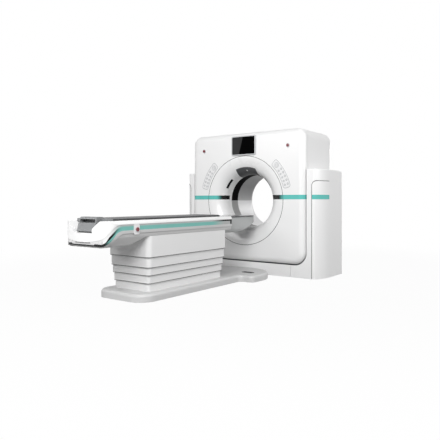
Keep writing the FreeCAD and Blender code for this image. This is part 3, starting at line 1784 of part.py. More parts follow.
def make_handle():
    """The cradle's foot end: a leaning box in the channel's mouth, with a hand slot under its hump."""
    foot = -size.couch_foot_end.value + size.handle_recess.value
    board_start = foot + size.handle_depth.value
    end = board_start + size.handle_lap.value
    low = size.trough_floor.value + size.handle_clearance.value
    half = size.handle_half_width.value
    wide = size.cradle_half_width.value
    board_low = size.cradle_underside.value
    board_top = board_low + size.cradle_thickness.value
    top = board_top + size.mattress_thickness.value
    lean = size.handle_lean.value
    rim_y = foot + lean
    body = side_prism(
        [
            (foot, low, 6),
            (board_start, low, 0),
            (board_start, top, 0),
            (rim_y + 5, top, 0),
            (rim_y, size.couch_rim.value, 0),
        ],
        half,
    )
    hump = side_prism(
        [
            (rim_y + 5, top, 0),
            (rim_y + 13, top + 16, 12),
            (end - 34, top + 16, 30),
            (end - 8, top, 0),
            (end - 8, board_top, 0),
            (rim_y + 5, board_top, 0),
        ],
        half - 8,
    )
    lap = prism(
        [(-wide, board_top, 0), (wide, board_top, 0), (wide, top, 8), (-wide, top, 8)],
        xz,
        board_start - 18,
        size.handle_lap.value + 18,
    )
    web = block(-wide, wide, board_start - 18, board_start, board_low + 2, board_top)
    slot = prism(
        [
            (13 - half, top - 37, 10),
            (half - 13, top - 37, 10),
            (half - 13, top - 5, 10),
            (13 - half, top - 5, 10),
        ],
        xz,
        foot - 20,
        board_start - 13 - (foot - 20),
    )
    handle = body.multiFuse([hump, lap, web]).cut(slot)
    finished(feature("cradle_handle", solid_of(handle)), "cradle_handle")


def make_couch_stops():
    """On each side a plate on the bead under the stripe, with a stop in it."""
    plate_top = size.upper_shell_edge.value - 1
    height = plate_top - 47
    place_y = -size.couch_stop_place.value
    face = size.couch_half_width.value - 3
    bases = []
    for label, side in (("couch_stop_left", -1), ("couch_stop_right", 1)):
        start = Vector(side * face, place_y, height)
        way = Vector(side, 0, 0)
        outline = [
            (place_y - 36, height - 47, 14),
            (place_y + 36, height - 47, 14),
            (place_y + 36, height + 47, 14),
            (place_y - 36, height + 47, 14),
        ]
        low_x = min(side * face, side * (face + 3))
        plate = prism(outline, yz, low_x, 3)
        stem_hole = Part.makeCylinder(stop_stem_radius() + 0.4, 30, start - way * 10, way)
        bases.append(solid_of(plate.fuse(stop_base(start, way)).cut(stem_hole)))
        finished(feature(label, stop_button(start, way)), label)
    finished(feature("couch_stop_bases", Part.makeCompound(bases)), "couch_stop_bases")


# ---------------------------------------------------------------- build, check and write


def write_parts():
    document.recompute()
    for item in document.Objects:
        if "Invalid" in item.State or "Error" in item.State:
            raise RuntimeError("%s failed: %s" % (item.Label, item.State))
    os.makedirs("parts", exist_ok=True)
    for item in parts:
        shape = item.Shape
        if shape.isNull() or not shape.isValid():
            raise RuntimeError("%s has no valid shape" % item.Label)
        shape.exportStep("parts/%s.step" % item.Label)
    print("%d sub-parts written" % len(parts))


make_covers()
make_ring_and_bore()
make_ring_trim()
make_stripes()
make_display()
make_control_panels()
make_gantry_stops()
make_pillars()
make_plinth()
make_base_frame()
make_tilt_bearings()
make_tilt_frame()
make_rotor()
make_tube_side()
make_detector()
make_drive()
make_tiers()
make_lift_column()
make_couch_base()
make_upper_shell()
make_lower_shell()
make_couch_stripe()
make_nose()
make_couch_frame()
make_cradle()
make_handle()
make_couch_stops()
write_parts()
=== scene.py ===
import math

import bmesh
import bpy
from mathutils import Matrix, Vector


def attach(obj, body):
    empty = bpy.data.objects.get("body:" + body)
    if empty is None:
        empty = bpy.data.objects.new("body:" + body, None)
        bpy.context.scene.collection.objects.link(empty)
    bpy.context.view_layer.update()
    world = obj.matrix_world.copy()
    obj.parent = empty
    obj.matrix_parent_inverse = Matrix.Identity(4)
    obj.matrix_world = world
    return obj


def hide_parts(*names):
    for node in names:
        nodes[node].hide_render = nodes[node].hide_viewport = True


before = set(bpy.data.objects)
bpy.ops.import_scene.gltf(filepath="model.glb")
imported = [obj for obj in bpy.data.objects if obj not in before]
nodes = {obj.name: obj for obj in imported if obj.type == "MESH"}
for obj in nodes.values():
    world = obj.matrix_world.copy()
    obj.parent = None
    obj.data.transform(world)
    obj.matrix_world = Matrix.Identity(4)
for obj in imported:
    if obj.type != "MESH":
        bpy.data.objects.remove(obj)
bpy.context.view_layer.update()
isoHeight = 0.962  # centre of the bore above the floor
print("frame loaded:", len(nodes), "nodes")


# material building blocks

def startMaterial(name):
    material = bpy.data.materials.new(name)
    material.use_nodes = True
    tree = material.node_tree
    return material, tree, tree.nodes["Principled BSDF"]


def addNode(tree, kind, sockets=None, **settings):
    node = tree.nodes.new(kind)
    for key, value in settings.items():
        setattr(node, key, value)
    for key, value in (sockets or {}).items():
        node.inputs[key].default_value = value
    return node


def objectPoint(tree):
    return addNode(tree, "ShaderNodeTexCoord").outputs["Object"]


def noiseOn(tree, point, scale, detail=2.0, stretch=(1, 1, 1)):
    mapping = addNode(tree, "ShaderNodeMapping", {"Scale": stretch})
    noise = addNode(tree, "ShaderNodeTexNoise", {"Scale": scale, "Detail": detail})
    tree.links.new(point, mapping.inputs["Vector"])
    tree.links.new(mapping.outputs["Vector"], noise.inputs["Vector"])
    return noise.outputs["Fac"]


def rangeOf(tree, value, low, high, fromLow=0.3, fromHigh=0.7, smooth=False):
    node = addNode(tree, "ShaderNodeMapRange")
    if smooth:
        node.interpolation_type = "SMOOTHSTEP"
    for key, number in zip(("From Min", "From Max", "To Min", "To Max"), (fromLow, fromHigh, low, high)):
        node.inputs[key].default_value = number
    tree.links.new(value, node.inputs["Value"])
    return node.outputs["Result"]


def calculate(tree, operation, first, second=None, clamp=False):
    node = addNode(tree, "ShaderNodeMath", operation=operation, use_clamp=clamp)
    for socket, value in zip(node.inputs, (first, second)):
        if value is None:
            continue
        if isinstance(value, (int, float)):
            socket.default_value = value
        else:
            tree.links.new(value, socket)
    return node.outputs["Value"]


def mixColours(tree, share, first, second):
    node = addNode(tree, "ShaderNodeMix", data_type="RGBA")
    for socket, value in ((node.inputs[0], share), (node.inputs[6], first), (node.inputs[7], second)):
        if isinstance(value, (tuple, list)):
            socket.default_value = (*value[:3], 1.0)
        elif isinstance(value, (int, float)):
            socket.default_value = value
        else:
            tree.links.new(value, socket)
    return node.outputs[2]


def shaded(colour, factor):
    return tuple(channel * factor for channel in colour)


def axisOf(tree, point, axis):
    split = addNode(tree, "ShaderNodeSeparateXYZ")
    tree.links.new(point, split.inputs["Vector"])
    return split.outputs[axis]


def bumpFrom(tree, shader, height, strength, distance):
    bump = addNode(tree, "ShaderNodeBump", {"Strength": strength, "Distance": distance})
    tree.links.new(height, bump.inputs["Height"])
    tree.links.new(bump.outputs["Normal"], shader.inputs["Normal"])


noiseDetail = {"cloud": 4.0, "patch": 3.0, "grain": 2.0}


def finishSurface(tree, shader, recipe, colour, point):
    # roughness and a fine grain, the same way on every finish
    stretch = recipe.get("stretch", (1, 1, 1))
    patches = noiseOn(tree, point, recipe["patchScale"], noiseDetail["patch"], stretch)
    tree.links.new(rangeOf(tree, patches, *recipe["roughness"]), shader.inputs["Roughness"])
    grain = noiseOn(tree, point, recipe["grainScale"], noiseDetail["grain"], stretch)
    bumpFrom(tree, shader, grain, recipe["grainStrength"], recipe["grainDepth"])
    tree.links.new(colour, shader.inputs["Base Color"])
    shader.inputs["Metallic"].default_value = recipe.get("metallic", 0.0)
    shader.inputs["Coat Weight"].default_value = recipe.get("coat", 0.0)
    shader.inputs["Coat Roughness"].default_value = recipe.get("coatRoughness", 0.1)
    shader.inputs["Specular IOR Level"].default_value = recipe.get("specular", 0.5)


def clouded(tree, point, colour, recipe):
    # the colour with slightly darker patches in it
    cloud = rangeOf(tree, noiseOn(tree, point, recipe["cloudScale"], recipe["cloudDetail"]), 0, 1)
    return mixColours(tree, cloud, shaded(colour, recipe["cloudShade"]), colour)


scuffs = {
    "scale": 22.0, "detail": 6.0, "stretch": (1, 1, 0.35), "seen": (0.5, 0.72), "amount": 0.08, "shade": 0.62}


def plainFinish(name, recipe):
    # mottled colour, and scuffs that thin out above the floor where the recipe asks for them
    material, tree, shader = startMaterial(name)
    point = objectPoint(tree)
    cloud = noiseOn(tree, point, recipe["cloudScale"], noiseDetail["cloud"], recipe.get("stretch", (1, 1, 1)))
    colour = mixColours(
        tree, rangeOf(tree, cloud, 0, 1), shaded(recipe["colour"], 1 - recipe["cloud"]), recipe["colour"])
    if "scuffHeight" in recipe:
        height = rangeOf(tree, axisOf(tree, point, "Z"), 1, 0, 0.0, recipe["scuffHeight"], True)
        streaks = noiseOn(tree, point, scuffs["scale"], scuffs["detail"], scuffs["stretch"])
        marks = rangeOf(tree, streaks, 0, 1, *scuffs["seen"])
        amount = calculate(tree, "MULTIPLY", calculate(tree, "MULTIPLY", height, marks), scuffs["amount"])
        colour = mixColours(tree, amount, colour, shaded(recipe["colour"], scuffs["shade"]))
    finishSurface(tree, shader, recipe, colour, point)
    return material


# finishes of the CAD nodes

whitePlastic = {
    "colour": (0.88, 0.88, 0.88), "cloud": 0.004, "cloudScale": 2.2, "patchScale": 3.0,
    "roughness": (0.30, 0.33), "grainScale": 620.0, "grainStrength": 0.03, "grainDepth": 0.0003,
    "coat": 0.2, "coatRoughness": 0.2}

recipes = {
    "coverWhite": whitePlastic,
    "floorWhite": {**whitePlastic, "scuffHeight": 0.16},
    "tierWhite": {**whitePlastic, "colour": (0.80, 0.80, 0.80), "roughness": (0.3, 0.38), "coat": 0.12},
    # painted shade: the couch's lower shell is drawn grey for the shade on its underside
    "bellyPaintedShade": {**whitePlastic, "colour": (0.56, 0.56, 0.56), "roughness": (0.3, 0.38), "coat": 0.1},
    # darker than the covers: painted shade for the shade that falls on the base under the couch
    "baseShadedGrey": {
        **whitePlastic, "colour": (0.60, 0.60, 0.60), "roughness": (0.42, 0.48), "coat": 0.0,
        "scuffHeight": 0.06},
    "ringWhite": {**whitePlastic, "roughness": (0.26, 0.29), "coat": 0.35, "coatRoughness": 0.2},
    "noseGrey": {**whitePlastic, "colour": (0.40, 0.41, 0.41), "roughness": (0.3, 0.38), "coat": 0.1},
    "frameGrey": {**whitePlastic, "colour": (0.55, 0.56, 0.57), "roughness": (0.32, 0.4)},
    "keyWhite": {**whitePlastic, "colour": (0.80, 0.80, 0.81), "roughness": (0.42, 0.5), "coat": 0.0},
    "handleGrey": {
        "colour": (0.20, 0.205, 0.21), "cloud": 0.08, "cloudScale": 9.0, "patchScale": 14.0,
        "roughness": (0.4, 0.5), "grainScale": 900.0, "grainStrength": 0.25, "grainDepth": 0.0006},
    "trimBlack": {
        "colour": (0.022, 0.022, 0.025), "cloud": 0.25, "cloudScale": 12.0, "patchScale": 18.0,
        "roughness": (0.34, 0.46), "grainScale": 900.0, "grainStrength": 0.2, "grainDepth": 0.0005,
        "specular": 0.1},
    "sensorGrey": {
        "colour": (0.060, 0.062, 0.066), "cloud": 0.2, "cloudScale": 10.0, "patchScale": 16.0,
        "roughness": (0.3, 0.4), "grainScale": 800.0, "grainStrength": 0.15, "grainDepth": 0.0004},
    "stopRed": {
        "colour": (0.17, 0.014, 0.024), "cloud": 0.12, "cloudScale": 60.0, "patchScale": 50.0,
        "roughness": (0.28, 0.36), "grainScale": 1500.0, "grainStrength": 0.08, "grainDepth": 0.0002,
        "coat": 0.2},
    "laserBlack": {
        "colour": (0.006, 0.006, 0.008), "cloud": 0.3, "cloudScale": 20.0, "patchScale": 30.0,
        "roughness": (0.06, 0.12), "grainScale": 300.0, "grainStrength": 0.02, "grainDepth": 0.0002,
        "specular": 0.1},
    "steelPaint": {
        "colour": (0.19, 0.215, 0.24), "cloud": 0.1, "cloudScale": 6.0, "patchScale": 9.0,
        "roughness": (0.42, 0.55), "grainScale": 420.0, "grainStrength": 0.2, "grainDepth": 0.0008},
    "tubePaint": {
        "colour": (0.30, 0.33, 0.36), "cloud": 0.08, "cloudScale": 8.0, "patchScale": 9.0,
        "roughness": (0.35, 0.48), "grainScale": 420.0, "grainStrength": 0.2, "grainDepth": 0.0008},
    "motorBlack": {
        "colour": (0.028, 0.028, 0.032), "cloud": 0.2, "cloudScale": 20.0, "patchScale": 20.0,
        "roughness": (0.4, 0.55), "grainScale": 500.0, "grainStrength": 0.3, "grainDepth": 0.0008},
    "bearingSteel": {
        "colour": (0.52, 0.52, 0.53), "cloud": 0.12, "cloudScale": 10.0, "patchScale": 30.0,
        "roughness": (0.22, 0.34), "grainScale": 260.0, "grainStrength": 0.12, "grainDepth": 0.0004,
        "metallic": 1.0, "stretch": (1, 14, 1)},
    "columnMetal": {
        "colour": (0.62, 0.63, 0.645), "cloud": 0.08, "cloudScale": 7.0, "patchScale": 12.0,
        "roughness": (0.28, 0.38), "grainScale": 240.0, "grainStrength": 0.1, "grainDepth": 0.0004,
        "metallic": 1.0, "stretch": (9, 9, 0.6)},
    "rotorMetal": {
        "colour": (0.56, 0.57, 0.59), "cloud": 0.1, "cloudScale": 9.0, "patchScale": 12.0,
        "roughness": (0.26, 0.4), "grainScale": 220.0, "grainStrength": 0.15, "grainDepth": 0.0005,
        "metallic": 1.0},
    "detectorMetal": {
        "colour": (0.36, 0.37, 0.40), "cloud": 0.1, "cloudScale": 9.0, "patchScale": 12.0,
        "roughness": (0.3, 0.42), "grainScale": 300.0, "grainStrength": 0.15, "grainDepth": 0.0005,
        "metallic": 1.0, "stretch": (1, 12, 1)},
    "ringBrass": {
        "colour": (0.66, 0.46, 0.16), "cloud": 0.15, "cloudScale": 14.0, "patchScale": 20.0,
        "roughness": (0.18, 0.3), "grainScale": 300.0, "grainStrength": 0.1, "grainDepth": 0.0003,
        "metallic": 1.0},
    "beltRubber": {
        "colour": (0.018, 0.018, 0.018), "cloud": 0.2, "cloudScale": 20.0, "patchScale": 30.0,
        "roughness": (0.6, 0.75), "grainScale": 500.0, "grainStrength": 0.4, "grainDepth": 0.0008},
    # dark grey rubber, also painted shade in the gap under each telescoping cover
    "wiperAndShadeGrey": {
        "colour": (0.12, 0.12, 0.122), "cloud": 0.1, "cloudScale": 30.0, "patchScale": 30.0,
        "roughness": (0.55, 0.7), "grainScale": 600.0, "grainStrength": 0.2, "grainDepth": 0.0004},
    "rollerRubber": {
        "colour": (0.035, 0.035, 0.037), "cloud": 0.2, "cloudScale": 30.0, "patchScale": 30.0,
        "roughness": (0.55, 0.7), "grainScale": 600.0, "grainStrength": 0.35, "grainDepth": 0.0006},
    "guidePlastic": {
        "colour": (0.62, 0.62, 0.59), "cloud": 0.06, "cloudScale": 12.0, "patchScale": 18.0,
        "roughness": (0.38, 0.5), "grainScale": 600.0, "grainStrength": 0.1, "grainDepth": 0.0004,
        "stretch": (1, 0.2, 1)},
}


def boardWeave(recipe):
    # plain carbon weave under a clear coat, one set of strands painted lighter as sheen
    material, tree, shader = startMaterial("boardComposite")
    point = objectPoint(tree)
    waves = []
    for turn in (0.0, math.pi / 2):
        mapping = addNode(tree, "ShaderNodeMapping", {"Rotation": (0, 0, turn)})
        wave = addNode(
            tree, "ShaderNodeTexWave", {"Scale": recipe["weaveScale"], "Distortion": recipe["weaveWobble"]})
        tree.links.new(point, mapping.inputs["Vector"])
        tree.links.new(mapping.outputs["Vector"], wave.inputs["Vector"])
        waves.append(wave.outputs["Fac"])
    weave = calculate(tree, "MULTIPLY", waves[0], waves[1])
    colour = mixColours(tree, weave, recipe["colour"], shaded(recipe["colour"], recipe["weaveShine"]))
    finishSurface(tree, shader, recipe, colour, point)
    return material


# weaveShine brightens one set of strands: a painted sheen
boardRecipe = {
    "colour": (0.022, 0.023, 0.026), "weaveScale": 90.0, "weaveWobble": 0.2, "weaveShine": 2.2,
    "patchScale": 12.0, "roughness": (0.2, 0.3), "grainScale": 380.0, "grainStrength": 0.1,
    "grainDepth": 0.0003, "coat": 0.6, "coatRoughness": 0.08}


boreShadeSplit = {"edge": 0.001, "rise": 0.35, "cloudScale": 5.0, "cloudDetail": 3.0}


def splitByHeight(name, recipe):
    # painted shade inside the bore: one colour below the bore's centre, and above it a darker one that
    # changes towards the top
    material, tree, shader = startMaterial(name)
    point = objectPoint(tree)
    height = axisOf(tree, point, "Z")
    half = rangeOf(tree, height, 0, 1, isoHeight - boreShadeSplit["edge"], isoHeight + boreShadeSplit["edge"])
    spots = noiseOn(tree, point, boreShadeSplit["cloudScale"], boreShadeSplit["cloudDetail"])
    cloud = rangeOf(tree, spots, 1 - recipe["cloud"], 1)
    rise = rangeOf(tree, height, 0, 1, isoHeight, isoHeight + boreShadeSplit["rise"])
    above = mixColours(tree, rise, recipe["above"], recipe["top"])
    colour = mixColours(tree, half, recipe["below"], above)
    mottled = mixColours(tree, cloud, (0, 0, 0), colour)
    finishSurface(tree, shader, recipe, mottled, point)
    return material


# above and top are painted shade for the upper half of the bore
windowRecipe = {
    "above": (0.001, 0.001, 0.0012), "top": (0.001, 0.001, 0.0012), "below": (0.43, 0.43, 0.43),
    "cloud": 0.06, "patchScale": 14.0, "roughness": (0.5, 0.6), "grainScale": 700.0, "grainStrength": 0.1,
    "grainDepth": 0.0004, "specular": 0.01}
linerRecipe = {
    "above": (0.44, 0.44, 0.445), "top": (0.16, 0.16, 0.163), "below": (0.88, 0.88, 0.885),
    "cloud": 0.03, "patchScale": 8.0, "roughness": (0.34, 0.42), "grainScale": 700.0,
    "grainStrength": 0.08, "grainDepth": 0.0004}


def gantryStripeFinish(recipe):
    # teal outside the ring, running to black towards the bore; on the right the black reaches farther out, as
    # painted shade
    material, tree, shader = startMaterial("gantryStripeTeal")
    point = objectPoint(tree)
    sideways = axisOf(tree, point, "X")
    share = calculate(
        tree, "MAXIMUM", rangeOf(tree, sideways, 1, 0, -recipe["tealLeft"], -recipe["blackLeft"], True),
        rangeOf(tree, sideways, 0, 1, recipe["blackRight"], recipe["tealRight"], True))
    colour = mixColours(tree, share, recipe["black"], clouded(tree, point, recipe["teal"], recipe))
    finishSurface(tree, shader, recipe, colour, point)
    return material


# blackRight and tealRight lie farther out than blackLeft and tealLeft: painted shade on the right side of the
# ring
stripeRecipe = {
    "teal": (0.125, 0.56, 0.515), "black": (0.006, 0.007, 0.007), "blackLeft": 0.40, "tealLeft": 0.47,
    "blackRight": 0.52, "tealRight": 0.60, "specular": 0.2, "cloudScale": 9.0, "cloudDetail": 3.0,
    "cloudShade": 0.94, "patchScale": 12.0, "roughness": (0.14, 0.2), "grainScale": 600.0,
    "grainStrength": 0.05, "grainDepth": 0.0003, "coat": 0.12, "coatRoughness": 0.1}


def displayFinish(recipe):
    # dark glass with a painted reflection: its left part is lighter, parted by a slanting line
    material, tree, shader = startMaterial("displayGlass")
    point = objectPoint(tree)
    lean = calculate(tree, "MULTIPLY", axisOf(tree, point, "Z"), recipe["lean"])
    across = calculate(tree, "SUBTRACT", axisOf(tree, point, "X"), lean)
    part = rangeOf(tree, across, 0, 1, recipe["reflectionEdgeAt"], recipe["reflectionEdgeAt"] + recipe["reflectionEdgeWidth"])
    colour = mixColours(tree, part, clouded(tree, point, recipe["left"], recipe), recipe["right"])
    finishSurface(tree, shader, recipe, colour, point)
    return material


# left is the lighter painted reflection; right is the glass's own near-black
displayRecipe = {
    "left": (0.045, 0.045, 0.046), "right": (0.0008, 0.0008, 0.001), "lean": 0.28, "reflectionEdgeAt": -0.512,
    "reflectionEdgeWidth": 0.004, "cloudScale": 6.0, "cloudDetail": 2.0, "cloudShade": 0.85, "patchScale": 8.0,
    "roughness": (0.10, 0.14), "grainScale": 200.0, "grainStrength": 0.01, "grainDepth": 0.0002,
    "specular": 0.004}


def keyPanelFinish(recipe):
    # a white membrane with a grey edge line, ten ringed keys and a dial, set out round the bore
    material, tree, shader = startMaterial("keyPanel")
    point = objectPoint(tree)
    outward = calculate(tree, "ABSOLUTE", axisOf(tree, point, "X"))
    upward = calculate(tree, "SUBTRACT", axisOf(tree, point, "Z"), isoHeight)
    squares = [calculate(tree, "MULTIPLY", value, value) for value in (outward, upward)]
    radius = calculate(tree, "SQRT", calculate(tree, "ADD", *squares))
    angle = calculate(tree, "ARCTAN2", upward, outward)
    across = calculate(tree, "SUBTRACT", radius, recipe["middleRadius"])
    along = calculate(tree, "MULTIPLY", calculate(tree, "SUBTRACT", angle, recipe["middleAngle"]),
                      recipe["middleRadius"])

    def lengthOf(first, second):
        parts = [calculate(tree, "MULTIPLY", value, value) for value in (first, second)]
        return calculate(tree, "SQRT", calculate(tree, "ADD", *parts))

    def lineAt(distance, width):
        return rangeOf(tree, calculate(tree, "ABSOLUTE", distance), 1, 0, width * 0.5, width, True)

    # distance inside the rounded outline
    corner = recipe["corner"]
    overs = [calculate(tree, "MAXIMUM", calculate(tree, "SUBTRACT", calculate(tree, "ABSOLUTE", value),
                                                  half - corner), 0.0)
             for value, half in ((across, recipe["halfAcross"]), (along, recipe["halfAlong"]))]
    edge = calculate(tree, "SUBTRACT", lengthOf(*overs), corner - recipe["edgeInset"])
    marks = [lineAt(edge, recipe["edgeLine"])]
    # keys in two columns
    step = recipe["keyStep"]
    shifted = calculate(tree, "SUBTRACT", along, recipe["keyFrom"] - step / 2)
    row = calculate(tree, "SUBTRACT", calculate(tree, "MODULO", shifted, step), step / 2)
    column = calculate(tree, "SUBTRACT", calculate(tree, "ABSOLUTE", across), recipe["keyAside"])
    allowed = calculate(tree, "MULTIPLY", calculate(tree, "GREATER_THAN", shifted, 0.0),
                        calculate(tree, "LESS_THAN", shifted, recipe["keyRows"] * step))
    toKey = lengthOf(row, column)
    ring = lineAt(calculate(tree, "SUBTRACT", toKey, recipe["keyRadius"]), recipe["edgeLine"])
    sign = rangeOf(tree, toKey, recipe["signInk"], 0, *recipe["signEdge"], True)
    marks.append(calculate(tree, "MULTIPLY", calculate(tree, "MAXIMUM", ring, sign), allowed))
    dial = lengthOf(across, calculate(tree, "SUBTRACT", along, recipe["dialAt"]))
    for dialRadius in recipe["dialRadii"]:
        marks.append(lineAt(calculate(tree, "SUBTRACT", dial, dialRadius), recipe["edgeLine"]))
    share = marks[0]
    for mark in marks[1:]:
        share = calculate(tree, "MAXIMUM", share, mark)
    colour = mixColours(tree, share, recipe["colour"], recipe["ink"])
    finishSurface(tree, shader, recipe, colour, point)
    return material


keyPanelRecipe = {
    "colour": (0.83, 0.83, 0.835), "ink": (0.33, 0.34, 0.35), "patchScale": 20.0,
    "roughness": (0.36, 0.42), "grainScale": 1200.0, "grainStrength": 0.06, "grainDepth": 0.0003,
    "middleRadius": 0.665, "middleAngle": math.radians(30.5), "halfAcross": 0.053, "halfAlong": 0.197,
    "corner": 0.030, "edgeInset": 0.004, "edgeLine": 0.0032, "keyFrom": -0.150, "keyStep": 0.0513,
    "keyAside": 0.0212, "keyRadius": 0.011, "keyRows": 5, "signInk": 0.8, "signEdge": (0.003, 0.0045),
    "dialAt": 0.134, "dialRadii": (0.030, 0.015)}

finishes = {name: plainFinish(name, recipe) for name, recipe in recipes.items()}
finishes["boardComposite"] = boardWeave(boardRecipe)
finishes["windowPaintedShade"] = splitByHeight("windowPaintedShade", windowRecipe)
finishes["linerPaintedShade"] = splitByHeight("linerPaintedShade", linerRecipe)
finishes["gantryStripeTeal"] = gantryStripeFinish(stripeRecipe)
finishes["displayGlass"] = displayFinish(displayRecipe)
finishes["keyPanel"] = keyPanelFinish(keyPanelRecipe)

finishOfNode = {
    "coverWhite": "front_cover side_cover_left side_cover_right rear_cover couch_upper_shell",
    "floorWhite": "plinth_cover pillar_shell_left pillar_shell_right pillar_doors",
    "bellyPaintedShade": "couch_lower_shell",
    "baseShadedGrey": "couch_base_cover",
    "tierWhite": "pedestal_tier_1 pedestal_tier_2 pedestal_tier_3 pedestal_tier_4 pedestal_tier_5",
    "ringWhite": "front_ring_upper front_ring_lower",
    "noseGrey": "nose_shell",
    "frameGrey": "display_frame",
    "keyWhite": "gantry_stop_bases couch_stop_bases",
    "handleGrey": "cradle_handle",
    "trimBlack": "floor_fixings",
    "sensorGrey": "sensor_panel",
    "stopRed": "couch_stop_left couch_stop_right gantry_stop_left gantry_stop_right",
    "laserBlack": "laser_windows",
    "keyPanel": "control_panels",
    "steelPaint": "base_frame tilt_frame couch_frame collimator",
    "tubePaint": "xray_tube hv_generator",
    "motorBlack": "drive_motor",
    "bearingSteel": "tilt_bearings main_bearing",
    "columnMetal": "lift_stage_1 lift_stage_2 lift_stage_3 lift_stage_4 lift_stage_5",
    "rotorMetal": "rotor_drum drive_pulley",
    "detectorMetal": "detector",
    "ringBrass": "slip_ring",
    "beltRubber": "drive_belt",
    "rollerRubber": "nose_roller",
    "guidePlastic": "cradle_guides",
    "boardComposite": "cradle_board",
    "windowPaintedShade": "scan_window",
    "linerPaintedShade": "rear_liner",
    "gantryStripeTeal": "gantry_stripes pillar_stripes",
    "displayGlass": "display_glass",
}
for finishName, nodeNames in finishOfNode.items():
    for nodeName in nodeNames.split():
        slots = nodes[nodeName].data.materials
        slots.clear()
        slots.append(finishes[finishName])
print("finishes set:", len(finishes))


# helpers for new pieces

mergeGap = 0.00002
cornerSegments = 10
beadSides = 3
crispAngle = 0.5  # radians, between faces that meet in a visible edge
beadAngle = 1.2


def pieceFrom(mesh, name, body, material):
    data = bpy.data.meshes.new(name)
    mesh.to_mesh(data)
    mesh.free()
    data.materials.append(material)
    piece = bpy.data.objects.new(name, data)
    bpy.context.scene.collection.objects.link(piece)
    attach(piece, body)
    return piece


def copyOfNode(nodeName):
    # the node's mesh with its loose triangles joined
    mesh = bmesh.new()
    mesh.from_mesh(nodes[nodeName].data)
    bmesh.ops.remove_doubles(mesh, verts=mesh.verts, dist=mergeGap)
    return mesh


def smoothShade(piece, angle=0.6):
    piece.data.shade_smooth()
    piece.data.set_sharp_from_angle(angle=angle)


def bevelEdges(mesh, edges, offset, segments):
    bmesh.ops.bevel(mesh, geom=edges, offset=offset, offset_type="OFFSET", segments=segments,
                    profile=0.5, affect="EDGES", material=-1)


def cutAcross(mesh, place, way):
    # new edges where the plane meets the mesh
    bmesh.ops.bisect_plane(mesh, geom=mesh.verts[:] + mesh.edges[:] + mesh.faces[:],
                           plane_co=place, plane_no=way)


def roundedBlock(half, ends, heights, corner):
    # a block with rounded upright edges, from -half to half across and between the two ends along
    mesh = bmesh.new()
    bmesh.ops.create_cube(mesh, size=1.0)
    size = Vector((2 * half, ends[1] - ends[0], heights[1] - heights[0], 1))
    middle = Vector((0, (ends[0] + ends[1]) / 2, (heights[0] + heights[1]) / 2))
    bmesh.ops.transform(
        mesh, matrix=Matrix.Translation(middle) @ Matrix.Diagonal(size), verts=mesh.verts)
    upright = [edge for edge in mesh.edges if abs((edge.verts[0].co - edge.verts[1].co).z) > size.z / 2]
    bevelEdges(mesh, upright, corner, cornerSegments)
    return mesh


# couch base moulding: one shell with a rolled edge, and the dark caps of its floor fixings

baseMoulding = {
    "top": 0.078, "edgeRadius": 0.030, "edgeSegments": 8, "columnFoot": 0.1, "columnGap": 0.003}
fixingCap = {
    "half": 0.085, "ends": (-0.69, -0.61), "corner": 0.0395, "aside": 0.295, "sunk": 0.002,
    "proud": 0.0022, "edge": 0.0012, "edgeSegments": 2, "rimWidth": 0.006, "dish": 0.0015,
    "boltRadius": 0.012, "boltTaper": 0.86, "boltDepth": 0.006, "boltRise": 0.001, "boltAside": 0.042}
levelGap = 0.0001  # two heights closer than this are the same


def floorOutline(nodeName):
    # the node's outer outline on the floor, as a closed run of points
    mesh = copyOfNode(nodeName)
    links = {}
    for edge in mesh.edges:
        if max(vertex.co.z for vertex in edge.verts) < levelGap and any(
                abs(face.normal.z) < 0.1 for face in edge.link_faces):
            for vertex in edge.verts:
                links.setdefault(vertex, []).append(edge.other_vert(vertex))
    runs = []
    while links:
        run = [next(iter(links))]
        while run[-1] in links:
            choices = [vertex for vertex in links.pop(run[-1]) if vertex in links]
            run.extend(choices[:1])
        runs.append([vertex.co.copy() for vertex in run])
    mesh.free()
    return max(runs, key=lambda run: max(place.x for place in run) - min(place.x for place in run))


def mouldedBase():
    mesh = bmesh.new()
    sole = mesh.faces.new([mesh.verts.new(place) for place in floorOutline("couch_base_cover")])
    grown = bmesh.ops.extrude_face_region(mesh, geom=[sole])["geom"]
    raised = [item for item in grown if isinstance(item, bmesh.types.BMVert)]
    bmesh.ops.translate(mesh, verts=raised, vec=(0, 0, baseMoulding["top"]))
    bmesh.ops.recalc_face_normals(mesh, faces=mesh.faces)
    rim = [edge for edge in mesh.edges
           if min(vertex.co.z for vertex in edge.verts) > baseMoulding["top"] - levelGap]
    bevelEdges(mesh, rim, baseMoulding["edgeRadius"], baseMoulding["edgeSegments"])
    # the square opening that the lift column passes through
    column = [vertex.co for vertex in nodes["lift_stage_5"].data.vertices
              if vertex.co.z > baseMoulding["columnFoot"]]
    half = max(place.x for place in column) + baseMoulding["columnGap"]
    middle = (min(place.y for place in column) + max(place.y for place in column)) / 2
    for place, way in (((half, 0, 0), (1, 0, 0)), ((-half, 0, 0), (1, 0, 0)),
                       ((0, middle + half, 0), (0, 1, 0)), ((0, middle - half, 0), (0, 1, 0))):
        cutAcross(mesh, place, way)
    lids = [face for face in mesh.faces if abs(face.calc_center_median().x) < half
            and abs(face.calc_center_median().y - middle) < half]
    bmesh.ops.delete(mesh, geom=lids, context="FACES")
    bmesh.ops.bridge_loops(mesh, edges=[edge for edge in mesh.edges if edge.is_boundary])
    bmesh.ops.recalc_face_normals(mesh, faces=mesh.faces)
    return mesh


baseShell = pieceFrom(mouldedBase(), "couch_base_moulding", "base", finishes["baseShadedGrey"])
smoothShade(baseShell, crispAngle)
baseShell.modifiers.new("evenNormals", "WEIGHTED_NORMAL").keep_sharp = True
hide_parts("couch_base_cover")


